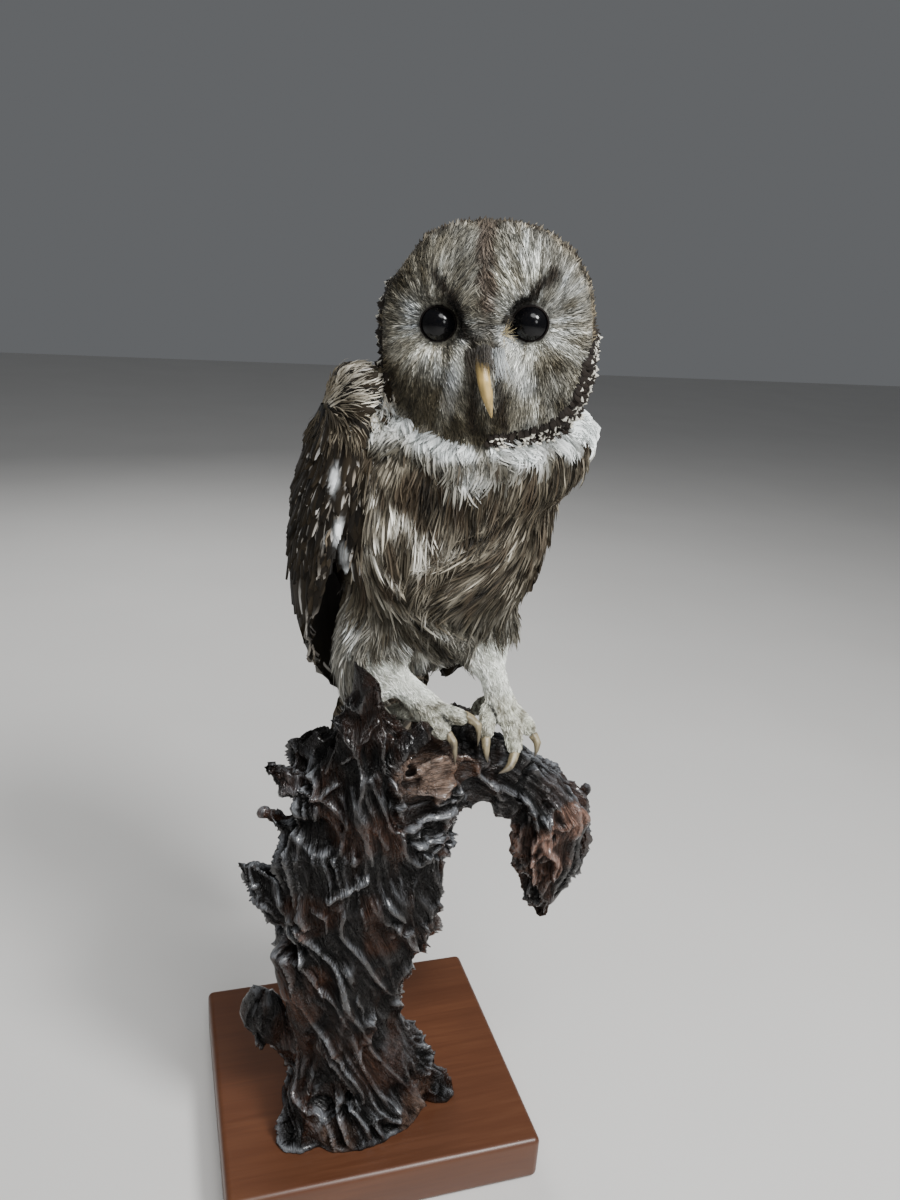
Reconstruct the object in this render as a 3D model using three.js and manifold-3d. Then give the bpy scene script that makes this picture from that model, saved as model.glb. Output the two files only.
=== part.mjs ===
// A mounted wood owl, life size: an upright bird with its head turned to its right, perched on a gnarled
// piece of root wood that stands on a rectangular plinth. Millimetres, +Z up. The origin is the centre of the
// plinth's underside, -Y is the plinth's front and +X the side that the perch reaches out to.
import * as THREE from "three";
import { mergeVertices } from "three/addons/utils/BufferGeometryUtils.js";
import Module from "manifold-3d";

const wasm = await Module();
wasm.setup();

// ---------------------------------------------------------------- driving dimensions
const GAP = 0.3; // clearance left between neighbouring solids
const FLATNESS = 0.12; // how far the trimmed surfaces may be evened out
const PLINTH = { width: 236, depth: 216, height: 38, bevel: 5 };
const BIRD = { x: 38, y: 5, yaw: 10 }; // the body's axis on the plinth, and its turn in degrees
const HEAD = {
  centre: [10.5, -32, 623],
  turn: { yaw: -32, roll: -4 },
  halfWidth: 67,
  front: 49,
  back: 60,
  top: 69,
  bottom: 68,
  plan: 2.25, // squareness seen from above
  profile: 2.55, // and from the front
};
const EYE = { x: 27, y: -31, z: 10.4, radius: 13 };
const BODY_WIDTH = 80; // half the trunk's greatest width, with its feathers
const BODY_DEPTH = 75;

const COLOURS = {
  plinth: { color: 0x5a2213, roughness: 0.35 },
  wood: { color: 0x1d130e, roughness: 0.3 },
  down: { color: 0x8d8274, roughness: 0.9 },
  face: { color: 0x77706a, roughness: 0.9 },
  collar: { color: 0xcfc8ba, roughness: 0.95 },
  flight: { color: 0x33241a, roughness: 0.8 },
  felt: { color: 0xcbc4b4, roughness: 0.95 },
  bill: { color: 0xc79a4c, roughness: 0.4 },
  claw: { color: 0x9c8a63, roughness: 0.35 },
  eye: { color: 0x07070a, roughness: 0.03 },
};

// ---------------------------------------------------------------- shape helpers
const vec = (p) => new THREE.Vector3(...p);
const degrees = THREE.MathUtils.degToRad;

/** A solid from a closed geometry. */
function solid(geometry) {
  const bare = geometry.clone();
  bare.deleteAttribute("normal");
  bare.deleteAttribute("uv");
  const merged = mergeVertices(bare, 1e-3);
  return new wasm.Manifold(
    new wasm.Mesh({
      numProp: 3,
      vertProperties: merged.attributes.position.array,
      triVerts: new Uint32Array(merged.index.array),
    }),
  );
}

/** The geometry of a solid's largest body. */
function geometryOf(made) {
  const bodies = made.simplify(FLATNESS).decompose().sort((a, b) => b.volume() - a.volume());
  const { vertProperties, triVerts, numProp } = bodies[0].getMesh();
  const geometry = new THREE.BufferGeometry();
  const count = vertProperties.length / numProp;
  const position = new Float32Array(count * 3);
  for (let i = 0; i < count; i++) {
    position.set(vertProperties.subarray(i * numProp, i * numProp + 3), i * 3);
  }
  geometry.setAttribute("position", new THREE.BufferAttribute(position, 3));
  geometry.setIndex(new THREE.BufferAttribute(triVerts, 1));
  geometry.computeVertexNormals();
  return geometry;
}

const joined = (solids) => solids.reduce((a, b) => a.add(b));
const without = (body, cutters) => cutters.reduce((a, b) => a.subtract(b), body);
const moved = (made, matrix) => made.transform(matrix.elements);

/** Faces between two neighbouring rings of `sides` vertices each, facing out. */
function bandFaces(index, first, second, sides) {
  for (let j = 0; j < sides; j++) {
    const k = (j + 1) % sides;
    index.push(first + j, first + k, second + k, first + j, second + k, second + j);
  }
}

/**
 * A closed tube through stations {at: [x, y, z], r: [side, up]}. `side` is the direction of the first radius,
 * `relief(u, angle)` adds millimetres to it, and `grow` swells the whole body for a cutter.
 */
function loft(stations, options = {}) {
  const { sides = 16, rings = 20, side = [1, 0, 0], relief = () => 0, grow = 0, dome = [1, 1] } = options;
  const centres = new THREE.CatmullRomCurve3(stations.map((s) => vec(s.at)));
  const radii = new THREE.CatmullRomCurve3(stations.map((s) => new THREE.Vector3(s.r[0], s.r[1], 0)));
  const specs = [];
  const frameAt = (u) => {
    const along = centres.getTangent(u).normalize();
    const across = vec(side).addScaledVector(along, -vec(side).dot(along)).normalize();
    return { centre: centres.getPoint(u), along, across, up: along.clone().cross(across), radius: radii.getPoint(u), u };
  };
  const domeSteps = sides > 8 ? [0.35, 0.75] : [0.55]; // how far round the cap each ring lies, in quarter turns
  const cap = (u, sign, height) => {
    const frame = frameAt(u);
    const reach = height * Math.min(frame.radius.x, frame.radius.y) + grow;
    return domeSteps.map((share) => {
      const turn = (share * Math.PI) / 2;
      const centre = frame.centre.clone().addScaledVector(frame.along, sign * reach * Math.cos(turn));
      return { ...frame, centre, scale: Math.sin(turn) };
    });
  };
  specs.push(...cap(0, -1, dome[0]));
  for (let i = 0; i <= rings; i++) specs.push({ ...frameAt(i / rings), scale: 1 });
  specs.push(...cap(1, 1, dome[1]).reverse());

  const points = [];
  for (const { centre, across, up, radius, u, scale } of specs) {
    for (let j = 0; j < sides; j++) {
      const angle = (j / sides) * 2 * Math.PI;
      const extra = relief(u, angle) + grow;
      const point = centre
        .clone()
        .addScaledVector(across, scale * (radius.x + extra) * Math.cos(angle))
        .addScaledVector(up, scale * (radius.y + extra) * Math.sin(angle));
      points.push(point);
    }
  }
  const tip = (u, sign, height) => {
    const frame = frameAt(u);
    const reach = height * Math.min(frame.radius.x, frame.radius.y) + grow;
    return frame.centre.addScaledVector(frame.along, sign * reach);
  };
  points.push(tip(0, -1, dome[0]), tip(1, 1, dome[1]));
  const index = [];
  for (let i = 0; i + 1 < specs.length; i++) bandFaces(index, i * sides, (i + 1) * sides, sides);
  const [start, end, last] = [points.length - 2, points.length - 1, (specs.length - 1) * sides];
  for (let j = 0; j < sides; j++) {
    const k = (j + 1) % sides;
    index.push(start, k, j, end, last + j, last + k);
  }
  return new THREE.BufferGeometry().setFromPoints(points).setIndex(index);
}

/** A unit ball whose seam and poles are welded, with its poles on Z or, when `polesOnY`, on Y. */
function unitBall(segments, polesOnY = false) {
  const ball = new THREE.SphereGeometry(1, ...segments);
  ball.deleteAttribute("normal");
  ball.deleteAttribute("uv");
  return polesOnY ? mergeVertices(ball, 1e-4) : mergeVertices(ball, 1e-4).rotateX(Math.PI / 2);
}

/** An ellipsoid at `at` with radii `r`, coarse enough for a lump or an eye. */
function lump(at, r, grow = 0, segments = [10, 7]) {
  const ball = unitBall(segments);
  ball.scale(r[0] + grow, r[1] + grow, r[2] + grow);
  return ball.translate(...at);
}

/** A value between the numbers of `list`, read smoothly at u from 0 to 1. */
function along(list, u) {
  const curve = new THREE.CatmullRomCurve3(list.map((value, i) => new THREE.Vector3(value, i, 0)));
  return curve.getPoint(u).x;
}

// ---------------------------------------------------------------- the plinth
function plinthGeometry() {
  const { width, depth, height, bevel } = PLINTH;
  const outline = new THREE.Shape();
  const [x, y] = [width / 2 - bevel, depth / 2 - bevel];
  outline.moveTo(-x, -y).lineTo(x, -y).lineTo(x, y).lineTo(-x, y).closePath();
  const block = new THREE.ExtrudeGeometry(outline, {
    depth: height,
    bevelThickness: bevel,
    bevelSize: bevel,
    bevelSegments: 3,
  }).translate(0, 0, -bevel);
  const below = new THREE.BoxGeometry(2 * width, 2 * depth, height).translate(0, 0, -height / 2);
  return geometryOf(solid(block).subtract(solid(below)));
}

// ---------------------------------------------------------------- the root wood
/** Twisted flutes and swellings, as on a weathered root. */
const gnarl = (depth) => (u, angle) =>
  depth *
  (Math.sin(3 * angle + 5 * u) * 0.9 + Math.sin(5 * angle - 11 * u) * 0.6 + Math.sin(2 * angle + 17 * u) * 0.5);

const WOOD_LIMBS = [
  {
    name: "stem",
    options: { sides: 18, rings: 15, relief: gnarl(3.2), dome: [0, 0.7] },
    stations: [
      { at: [-10, -34, 30], r: [60, 50] },
      { at: [-10, -33, 62], r: [56, 46] },
      { at: [-20, -32, 100], r: [45, 41] },
      { at: [-26, -32, 140], r: [44, 41] },
      { at: [-24, -32, 176], r: [56, 44] },
      { at: [-17, -32, 215], r: [62, 47] },
      { at: [-13, -33, 255], r: [64, 48] },
      { at: [-11, -34, 288], r: [62, 46] },
      { at: [-18, -36, 318], r: [50, 40] },
      { at: [-24, -40, 344], r: [34, 30] },
    ],
  },
  {
    name: "perch",
    options: { sides: 12, rings: 12, side: [0, 1, 0], relief: gnarl(1.6), dome: [0.5, 0.8] },
    stations: [
      { at: [12, -38, 322], r: [28, 28] },
      { at: [44, -38, 332], r: [28, 30] },
      { at: [78, -38, 325], r: [27, 26] },
      { at: [105, -38, 308], r: [27, 25] },
      { at: [124, -38, 281], r: [28, 32] },
      { at: [129, -37, 250], r: [26, 33] },
      { at: [129, -36, 225], r: [20, 24] },
      { at: [132, -35, 200], r: [13, 14] },
      { at: [132, -35, 186], r: [6, 6] },
    ],
  },
  {
    name: "spike",
    options: { sides: 8, rings: 6, relief: gnarl(0.8), dome: [0, 1] },
    stations: [
      { at: [-22, -46, 322], r: [27, 17] },
      { at: [-19, -50, 358], r: [19, 12] },
      { at: [-21, -52, 384], r: [10, 8] },
      { at: [-25, -52, 409], r: [1.6, 1.6] },
    ],
  },
  {
    name: "hook", // a leaf-like flap that points at the right foot
    options: { sides: 7, rings: 4 },
    stations: [
      { at: [-12, -54, 352], r: [9, 7] },
      { at: [4, -57, 364], r: [6, 8] },
      { at: [20, -59, 366], r: [1.5, 2] },
    ],
  },
  {
    name: "beak", // a pointed lobe on the stem's right
    options: { sides: 7, rings: 3, side: [0, 1, 0] },
    stations: [
      { at: [16, -58, 312], r: [12, 13] },
      { at: [38, -62, 312], r: [9, 7] },
      { at: [56, -62, 310], r: [1.5, 1.5] },
    ],
  },
  {
    name: "stub", // the cut branchlet on the left
    options: { sides: 8, rings: 3, side: [0, 1, 0], dome: [0, 0.15] },
    stations: [
      { at: [-42, -30, 312], r: [14, 14] },
      { at: [-66, -31, 325], r: [11, 11] },
      { at: [-84, -31, 338], r: [10, 9] },
    ],
  },
  {
    name: "leftLobe",
    options: { sides: 7, rings: 3, side: [0, 1, 0] },
    stations: [
      { at: [-48, -30, 276], r: [18, 16] },
      { at: [-70, -30, 290], r: [14, 10] },
      { at: [-84, -30, 300], r: [5, 3] },
    ],
  },
  {
    name: "flap", // the big pointed flap lower on the left
    options: { sides: 8, rings: 4, side: [0, 1, 0] },
    stations: [
      { at: [-50, -32, 222], r: [26, 30] },
      { at: [-76, -32, 238], r: [20, 21] },
      { at: [-92, -31, 252], r: [10, 11] },
      { at: [-102, -30, 263], r: [2, 2] },
    ],
  },
  {
    name: "rightRoot",
    options: { sides: 8, rings: 4, side: [0, 1, 0], relief: gnarl(1.2) },
    stations: [
      { at: [4, -36, 92], r: [26, 22] },
      { at: [30, -40, 68], r: [24, 20] },
      { at: [54, -42, 42], r: [20, 13] },
    ],
  },
  {
    name: "frontRoot",
    options: { sides: 8, rings: 4, relief: gnarl(1.2) },
    stations: [
      { at: [-22, -50, 100], r: [22, 18] },
      { at: [-20, -66, 64], r: [26, 16] },
      { at: [-18, -76, 38], r: [30, 11] },
    ],
  },
  {
    name: "leftRoot",
    options: { sides: 8, rings: 4, relief: gnarl(1) },
    stations: [
      { at: [-46, -40, 96], r: [18, 20] },
      { at: [-56, -56, 62], r: [17, 18] },
      { at: [-62, -66, 36], r: [18, 14] },
    ],
  },
];
const WOOD_LUMPS = [
  { name: "crown", at: [42, -34, 344], r: [34, 25, 26] },
  { name: "burr", at: [33, -56, 324], r: [24, 18, 28] },
  { name: "shoulder", at: [-50, -18, 338], r: [19, 17, 21] },
  { name: "knob", at: [155, -36, 293], r: [10, 9, 10] },
  { name: "ear", at: [-82, -20, 116], r: [17, 15, 30] },
  { name: "earRoot", at: [-60, -18, 88], r: [20, 20, 24] },
  { name: "knee", at: [36, -40, 278], r: [18, 24, 26] },
];

/** Every limb and lump of the wood as one solid, trimmed level with the plinth's top. */
function woodSolid(grow = 0) {
  const limbs = WOOD_LIMBS.map(({ stations, options }) => solid(loft(stations, { ...options, grow })));
  const lumps = WOOD_LUMPS.map(({ at, r }) => solid(lump(at, r, grow)));
  const { width, depth, height } = PLINTH;
  const below = new THREE.BoxGeometry(width, depth, 2 * height).translate(0, 0, grow - 0.001 * grow);
  return joined([...limbs, ...lumps]).subtract(solid(below));
}

// ---------------------------------------------------------------- the head, in its own frame facing -Y
/** How far the head's surface lies from its centre in a direction. */
function headRadius(direction) {
  const { halfWidth, front, back, top, bottom, plan, profile } = HEAD;
  const across = Math.abs(direction.x) / halfWidth;
  const deep = Math.abs(direction.y) / (direction.y < 0 ? front : back);
  const high = Math.abs(direction.z) / (direction.z > 0 ? top : bottom);
  return ((across ** plan + deep ** plan) ** (profile / plan) + high ** profile) ** (-1 / profile);
}

/** The facial disc: a shallow bowl round each eye, a brow above it and a ridge down to the bill. */
function faceRelief(x, z) {
  const bump = (cx, cz, sx, sz) => Math.exp(-(((Math.abs(x) - cx) / sx) ** 2) - ((z - cz) / sz) ** 2);
  const bowls = 7 * bump(EYE.x + 1, EYE.z - 1, 17, 16);
  const brows = -3.5 * bump(19, 25, 13, 9);
  const ridge = -4 * bump(0, -8, 8, 26);
  return bowls + brows + ridge;
}

function headGeometry(grow = 0) {
  const ball = unitBall([24, 15], true);
  const position = ball.getAttribute("position");
  const point = new THREE.Vector3();
  for (let i = 0; i < position.count; i++) {
    point.fromBufferAttribute(position, i).normalize();
    const forward = Math.max(0, -point.y);
    point.multiplyScalar(headRadius(point) + grow);
    point.y += faceRelief(point.x, point.z) * Math.min(1, 2 * forward);
    position.setXYZ(i, ...point);
  }
  return ball;
}

const eyeGeometry = (side, grow = 0) => lump([side * EYE.x, EYE.y, EYE.z], Array(3).fill(EYE.radius), grow, [14, 10]);

const BILL = {
  upper: [
    { at: [2.6, -40, -6], r: [3.4, 4] },
    { at: [2.8, -50.5, -9], r: [4.5, 4.8] },
    { at: [3.4, -57.5, -17], r: [4.7, 5] },
    { at: [4.6, -59, -28], r: [3.6, 3.9] },
    { at: [6, -55.5, -38.5], r: [0.7, 0.8] },
  ],
  lower: [
    { at: [3.2, -40, -18], r: [4.4, 3.4] },
    { at: [4, -49, -23], r: [3.8, 2.6] },
    { at: [4.8, -52.5, -31], r: [1.6, 1.2] },
  ],
};
const billGeometry = (name, grow = 0) => loft(BILL[name], { sides: 8, rings: 7, grow });

// ---------------------------------------------------------------- the body, in the bird's frame facing -Y
const TRUNK = [
  { at: [6, -8, 570], r: [58, 44] },
  { at: [4, -9, 546], r: [74, 63] },
  { at: [1, -7, 515], r: [BODY_WIDTH, BODY_DEPTH] },
  { at: [-3, -1, 476], r: [74, 72] },
  { at: [-4, 8, 440], r: [62, 60] },
  { at: [-3, 18, 412], r: [48, 44] },
  { at: [-2, 26, 394], r: [31, 28] },
];
/** The white ruff under the face, in a frame of its own that follows the head's turn and dips in front. */
const COLLAR = {
  centre: [8, -19, 568],
  turn: { yaw: -27, dip: 20 },
  rings: [
    { at: [0, 0, 24], r: [60, 24] },
    { at: [0, 0, 10], r: [82, 55] },
    { at: [0, 0, -8], r: [87, 68] },
    { at: [0, 0, -28], r: [80, 74] },
  ],
};
const trunkGeometry = (grow = 0) => loft(TRUNK, { sides: 20, rings: 8, grow, dome: [0.2, 0.6] });
function collarGeometry(grow = 0) {
  const { centre, turn, rings } = COLLAR;
  return loft(rings, { sides: 22, rings: 4, grow, dome: [0.15, 0.15] })
    .rotateX(degrees(turn.dip))
    .rotateZ(degrees(turn.yaw))
    .translate(...centre);
}

/**
 * A folded wing: a curved shell round the body's axis. Angles run in degrees from the breast towards the back,
 * and each list goes from the shoulder to the wing tip.
 */
const WINGS = {
  right: {
    side: -1,
    level: [600, 566, 520, 470, 425, 388, 352],
    reach: [70, 85, 96, 101, 97, 88, 77],
    front: [62, 61, 64, 72, 86, 112, 137],
    rear: [108, 128, 146, 158, 162, 160, 148],
    thick: [26, 30, 30, 27, 20, 12, 6],
  },
  left: {
    side: 1,
    level: [596, 562, 518, 470, 425, 388, 350],
    reach: [72, 82, 88, 88, 85, 80, 73],
    front: [66, 68, 72, 80, 92, 114, 138],
    rear: [108, 128, 146, 158, 162, 160, 148],
    thick: [26, 26, 24, 22, 18, 12, 6],
  },
};
const WING_CELLS = { across: 6, down: 9 };

function wingGeometry({ side, level, reach, front, rear, thick }, grow = 0) {
  const { across, down } = WING_CELLS;
  const points = [];
  for (const inner of [0, 1]) {
    for (let i = 0; i <= down; i++) {
      const v = i / down;
      const [radius, depth] = [along(reach, v), along(thick, v)];
      for (let j = 0; j <= across; j++) {
        const u = (2 * j) / across - 1;
        const swell = 1 - Math.abs(u) ** 2.5;
        const outwards = inner ? -depth * (0.3 + 0.7 * swell) - grow : 0.06 * depth * swell + grow - 3 * (1 - swell);
        const spread = 1 + (grow * 1.5) / radius;
        const [a0, a1] = [degrees(along(front, v)), degrees(along(rear, v))];
        const angle = (a0 + a1) / 2 + (u * spread * (a1 - a0)) / 2;
        const edge = i === 0 ? grow : i === down ? -grow : 0;
        points.push(
          new THREE.Vector3(
            side * (radius + outwards) * Math.sin(angle),
            5 - (radius + outwards) * Math.cos(angle) * 0.86,
            along(level, v) + edge,
          ),
        );
      }
    }
  }
  const row = across + 1;
  const sheet = row * (down + 1);
  const index = [];
  const quad = (a, b, c, d) => index.push(...(side > 0 ? [a, b, c, a, c, d] : [a, c, b, a, d, c]));
  for (let i = 0; i < down; i++) {
    for (let j = 0; j < across; j++) {
      const a = i * row + j;
      quad(a, a + row, a + row + 1, a + 1);
      quad(sheet + a, sheet + a + 1, sheet + a + row + 1, sheet + a + row);
    }
    const [p, q] = [i * row, i * row + across];
    quad(p, sheet + p, sheet + p + row, p + row);
    quad(q, q + row, sheet + q + row, sheet + q);
  }
  for (let j = 0; j < across; j++) {
    const b = down * row + j;
    quad(j, j + 1, sheet + j + 1, sheet + j);
    quad(b, sheet + b, sheet + b + 1, b + 1);
  }
  return new THREE.BufferGeometry().setFromPoints(points).setIndex(index);
}

const TAIL = [
  { at: [-2, 40, 418], r: [30, 16] },
  { at: [-3, 62, 366], r: [35, 11] },
  { at: [-5, 84, 304], r: [38, 8] },
  { at: [-6, 100, 248], r: [38, 6] },
  { at: [-6, 107, 218], r: [30, 4] },
];
const tailGeometry = (grow = 0) => loft(TAIL, { sides: 9, rings: 5, grow, dome: [0.4, 1] });

// ---------------------------------------------------------------- legs, feet and claws
const LEGS = {
  right: {
    thigh: [
      { at: [-40, -2, 448], r: [32, 36] },
      { at: [-46, -12, 418], r: [28, 29] },
      { at: [-49, -16, 394], r: [21, 20] },
    ],
    tarsus: [
      { at: [-46, -15, 404], r: [13, 13] },
      { at: [-36, -23, 393], r: [11.5, 12] },
      { at: [-24, -32, 382], r: [11, 11] },
      { at: [-14, -41, 372], r: [12, 9] },
    ],
    toes: {
      inner: [
        { at: [-14, -41, 371], r: [9, 8] },
        { at: [-7, -51, 374], r: [7.5, 7] },
        { at: [-2, -58, 374], r: [6.2, 6] },
      ],
      middle: [
        { at: [-18, -42, 371], r: [10, 8] },
        { at: [-18, -52, 369], r: [8, 7.5] },
        { at: [-16.5, -59, 366], r: [6.6, 6.4] },
      ],
      outer: [
        { at: [-20, -36, 370], r: [9, 7] },
        { at: [-29, -20, 366], r: [7, 6.5] },
        { at: [-33, -7, 358], r: [6, 6] },
      ],
      hind: [
        { at: [-12, -36, 370], r: [8, 7] },
        { at: [-5, -18, 368], r: [7, 6.5] },
        { at: [-2, -6, 360], r: [6, 6] },
      ],
    },
    claws: {
      inner: [[-1, -59, 376], [7.2, -66, 370.6], [6.1, -69, 356]],
      middle: [[-16, -60, 368], [-11.4, -67, 361], [-10.9, -70, 346]],
      outer: [[-33, -5, 358], [-36, 5, 350], [-35, 5, 337]],
      hind: [[-2, -4, 360], [-1, 6, 350], [-2, 5, 338]],
    },
  },
  left: {
    thigh: [
      { at: [34, -8, 452], r: [28, 34] },
      { at: [32, -20, 424], r: [24, 26] },
      { at: [30, -28, 404], r: [17, 17] },
    ],
    tarsus: [
      { at: [29, -30, 412], r: [12.5, 12.5] },
      { at: [31, -36, 398], r: [11.5, 11.5] },
      { at: [33, -42, 386], r: [11, 11] },
      { at: [36, -47, 373], r: [13, 10] },
    ],
    toes: {
      inner: [
        { at: [29, -47, 373], r: [9, 8] },
        { at: [21, -55, 368], r: [7, 6.6] },
        { at: [16.5, -61, 361], r: [6, 6] },
      ],
      middle: [
        { at: [37, -49, 371], r: [9, 8] },
        { at: [38, -61, 360], r: [7.5, 7] },
        { at: [36, -69, 350], r: [6.4, 6] },
      ],
      outer: [
        { at: [42, -46, 369], r: [8, 7] },
        { at: [49, -56, 363], r: [6.8, 6.4] },
        { at: [52, -61, 358], r: [6, 6] },
      ],
      hind: [
        { at: [36, -40, 370], r: [8, 7] },
        { at: [37, -24, 364], r: [7, 6.5] },
        { at: [37, -13, 354], r: [6, 6] },
      ],
    },
    claws: {
      inner: [[16, -62, 361], [13, -69, 354], [14, -71, 342]],
      middle: [[35.6, -71, 349], [28, -78, 341], [18.5, -79, 338]],
      outer: [[52, -62, 357], [55, -69, 350], [51.5, -72, 341]],
      hind: [[37, -11, 353], [37, -3, 344], [37, -4, 332]],
    },
  },
};
const CLAW_RADII = [4.2, 3.1, 0.6];

const legLoft = (stations, grow = 0, sides = 8, rings = 4) => loft(stations, { sides, rings, grow });
const clawLoft = (points, grow = 0) =>
  loft(
    points.map((at, i) => ({ at, r: [CLAW_RADII[i], CLAW_RADII[i]] })),
    { sides: 6, rings: 4, grow, side: [1, 0, 0], dome: [0.6, 1] },
  );

// ---------------------------------------------------------------- the scene graph
const mount = new THREE.Group();
const bird = new THREE.Group();
bird.position.set(BIRD.x, BIRD.y, 0);
bird.rotation.z = degrees(BIRD.yaw);
mount.add(bird);
const head = new THREE.Group();
head.position.set(...HEAD.centre);
head.rotation.order = "ZYX";
head.rotation.set(0, degrees(HEAD.turn.roll), degrees(HEAD.turn.yaw));
bird.add(head);
mount.updateMatrixWorld(true);

/** Adds a named mesh to a group. */
function place(group, name, geometry, look) {
  const mesh = new THREE.Mesh(geometry, new THREE.MeshStandardMaterial(COLOURS[look]));
  mesh.name = name;
  group.add(mesh);
}

// The plinth and the wood.
const wood = woodSolid();
place(mount, "plinth", plinthGeometry(), "plinth");
place(mount, "root_wood", geometryOf(wood), "wood");
const woodCutter = moved(woodSolid(GAP), bird.matrixWorld.clone().invert());

// The head with its eyes and bill.
const headFeatures = [
  ...[-1, 1].map((side) => solid(eyeGeometry(side, GAP))),
  ...["upper", "lower"].map((name) => solid(billGeometry(name, GAP))),
];
place(head, "head", geometryOf(without(solid(headGeometry()), headFeatures)), "face");
place(head, "eye_right", eyeGeometry(-1), "eye");
place(head, "eye_left", eyeGeometry(1), "eye");
place(head, "bill_upper", billGeometry("upper"), "bill");
const lowerBill = without(solid(billGeometry("lower")), [solid(billGeometry("upper", GAP))]);
place(head, "bill_lower", geometryOf(lowerBill), "bill");

// The neck's collar, the trunk, wings and tail, each cut back from what is already there.
const taken = [moved(solid(headGeometry(GAP)), head.matrix)];
taken.push(...["upper", "lower"].map((name) => moved(solid(billGeometry(name, GAP)), head.matrix)));
/** Places a body part less everything placed before it, and keeps its own cutter for the next ones. */
function placeCut(name, shape, look, extra = []) {
  place(bird, name, geometryOf(without(solid(shape(0)), [...taken, ...extra])), look);
  taken.push(solid(shape(GAP)));
}
placeCut("neck", collarGeometry, "collar");
placeCut("trunk", trunkGeometry, "down");
for (const name of ["right", "left"]) {
  placeCut(`wing_${name}`, (grow) => wingGeometry(WINGS[name], grow), "flight");
}
placeCut("tail", tailGeometry, "flight", [woodCutter]);
for (const name of ["right", "left"]) {
  const { thigh, tarsus, toes, claws } = LEGS[name];
  placeCut(`thigh_${name}`, (grow) => legLoft(thigh, grow, 11, 4), "down", [woodCutter]);
  placeCut(`tarsus_${name}`, (grow) => legLoft(tarsus, grow), "felt", [woodCutter]);
  const foot = (grow) => joined(Object.values(toes).map((toe) => solid(legLoft(toe, grow, 7, 3))));
  place(bird, `foot_${name}`, geometryOf(without(foot(0), [...taken, woodCutter])), "felt");
  taken.push(foot(GAP));
  for (const [toe, points] of Object.entries(claws)) {
    placeCut(`claw_${name}_${toe}`, (grow) => clawLoft(points, grow), "claw", [woodCutter]);
  }
}

export default mount;
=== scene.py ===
"""The looks of a mounted wood owl on its root-wood stand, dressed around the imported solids.

Lengths in the dataclasses are millimetres in the owl's own frame, as in the part's source; meshes are metres.
"""

from __future__ import annotations

import sys

import itertools
import logging
import math
from dataclasses import dataclass, field
from enum import Enum
from typing import Callable, Iterator, Sequence

import bmesh
import bpy
import numpy as np
from mathutils import Matrix, Vector
from mathutils.bvhtree import BVHTree


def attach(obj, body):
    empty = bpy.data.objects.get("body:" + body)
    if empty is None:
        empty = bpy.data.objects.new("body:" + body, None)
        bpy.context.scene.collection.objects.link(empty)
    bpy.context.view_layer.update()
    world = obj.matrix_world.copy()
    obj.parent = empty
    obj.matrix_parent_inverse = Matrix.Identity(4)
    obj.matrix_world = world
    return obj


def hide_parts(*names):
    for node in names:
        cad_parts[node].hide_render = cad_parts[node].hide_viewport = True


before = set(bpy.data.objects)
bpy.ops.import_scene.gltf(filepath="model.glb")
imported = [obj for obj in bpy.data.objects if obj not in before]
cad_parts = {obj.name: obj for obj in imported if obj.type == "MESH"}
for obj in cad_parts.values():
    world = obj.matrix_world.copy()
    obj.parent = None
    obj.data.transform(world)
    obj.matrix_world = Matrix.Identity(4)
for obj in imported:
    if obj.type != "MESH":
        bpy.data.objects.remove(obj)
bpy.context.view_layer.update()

MM = 0.001
PATCH = 0.003  # how wide a tuft's patch is on the coat's bake map
LOG = logging.getLogger("owl")
NO_QUADS = np.zeros((0, 4), int)
NO_TRIANGLES = np.zeros((0, 3), int)
Array = np.ndarray
Colour = tuple[float, float, float]
Span = tuple[float, float]
Shell = tuple[Array, Array]  # points and faces
Colours = tuple[Array, Array]  # a ground's and a marking's
EVERY: Span = (-math.inf, math.inf)


# ---- numbers and frames
def unit(vectors: Array) -> Array:
    """Scales vectors to length one."""
    return vectors / np.maximum(np.linalg.norm(vectors, axis=-1, keepdims=True), 1e-12)


def smooth(low: float, high: float, value: Array) -> Array:
    """Rises smoothly from 0 at low to 1 at high, or falls where high is the smaller."""
    share = np.clip((value - low) / (high - low), 0, 1)
    return share * share * (3 - 2 * share)


def blend(first: Array, second: Array, share: Array) -> Array:
    """Mixes two colours or vectors row by row."""
    return first + (second - first) * np.asarray(share)[..., None]


def rows(*columns: Array | float) -> Array:
    """Sets columns side by side, some of them a single number."""
    return np.stack(np.broadcast_arrays(*columns), -1)


def turn(axis: str, degrees: float) -> Array:
    """Returns the rotation matrix about an axis."""
    return np.array(Matrix.Rotation(math.radians(degrees), 3, axis))


class Noise:
    """Seeded smooth noise in space, about -1 to 1."""

    def __init__(self, seed: int) -> None:
        """Draws the lattice values."""
        self.values = np.random.default_rng(seed).uniform(-1, 1, 8192)

    def __call__(self, points: Array, scale: float | Sequence[float]) -> Array:
        """Returns the noise at points.

        Args:
            points: (n, 3) places.
            scale: about how far across its features are, in the same unit, or that along each axis.

        Returns:
            One value for each place.
        """
        grid = np.asarray(points) / np.asarray(scale)
        base = np.floor(grid).astype(np.int64)
        part = grid - base
        fade = part * part * (3 - 2 * part)
        total = np.zeros(len(grid))
        for corner in itertools.product((0, 1), repeat=3):
            cell = base + corner
            code = (cell[:, 0] * 73856093 ^ cell[:, 1] * 19349663 ^ cell[:, 2] * 83492791) & 8191
            weight = np.prod(np.where(corner, fade, 1 - fade), axis=1)
            total += weight * self.values[code]
        return total


def drift(noises: Sequence[Noise], points: Array, scale: float | Sequence[float]) -> Array:
    """Returns several noises side by side."""
    return rows(*(noise(points, scale) for noise in noises))


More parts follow.
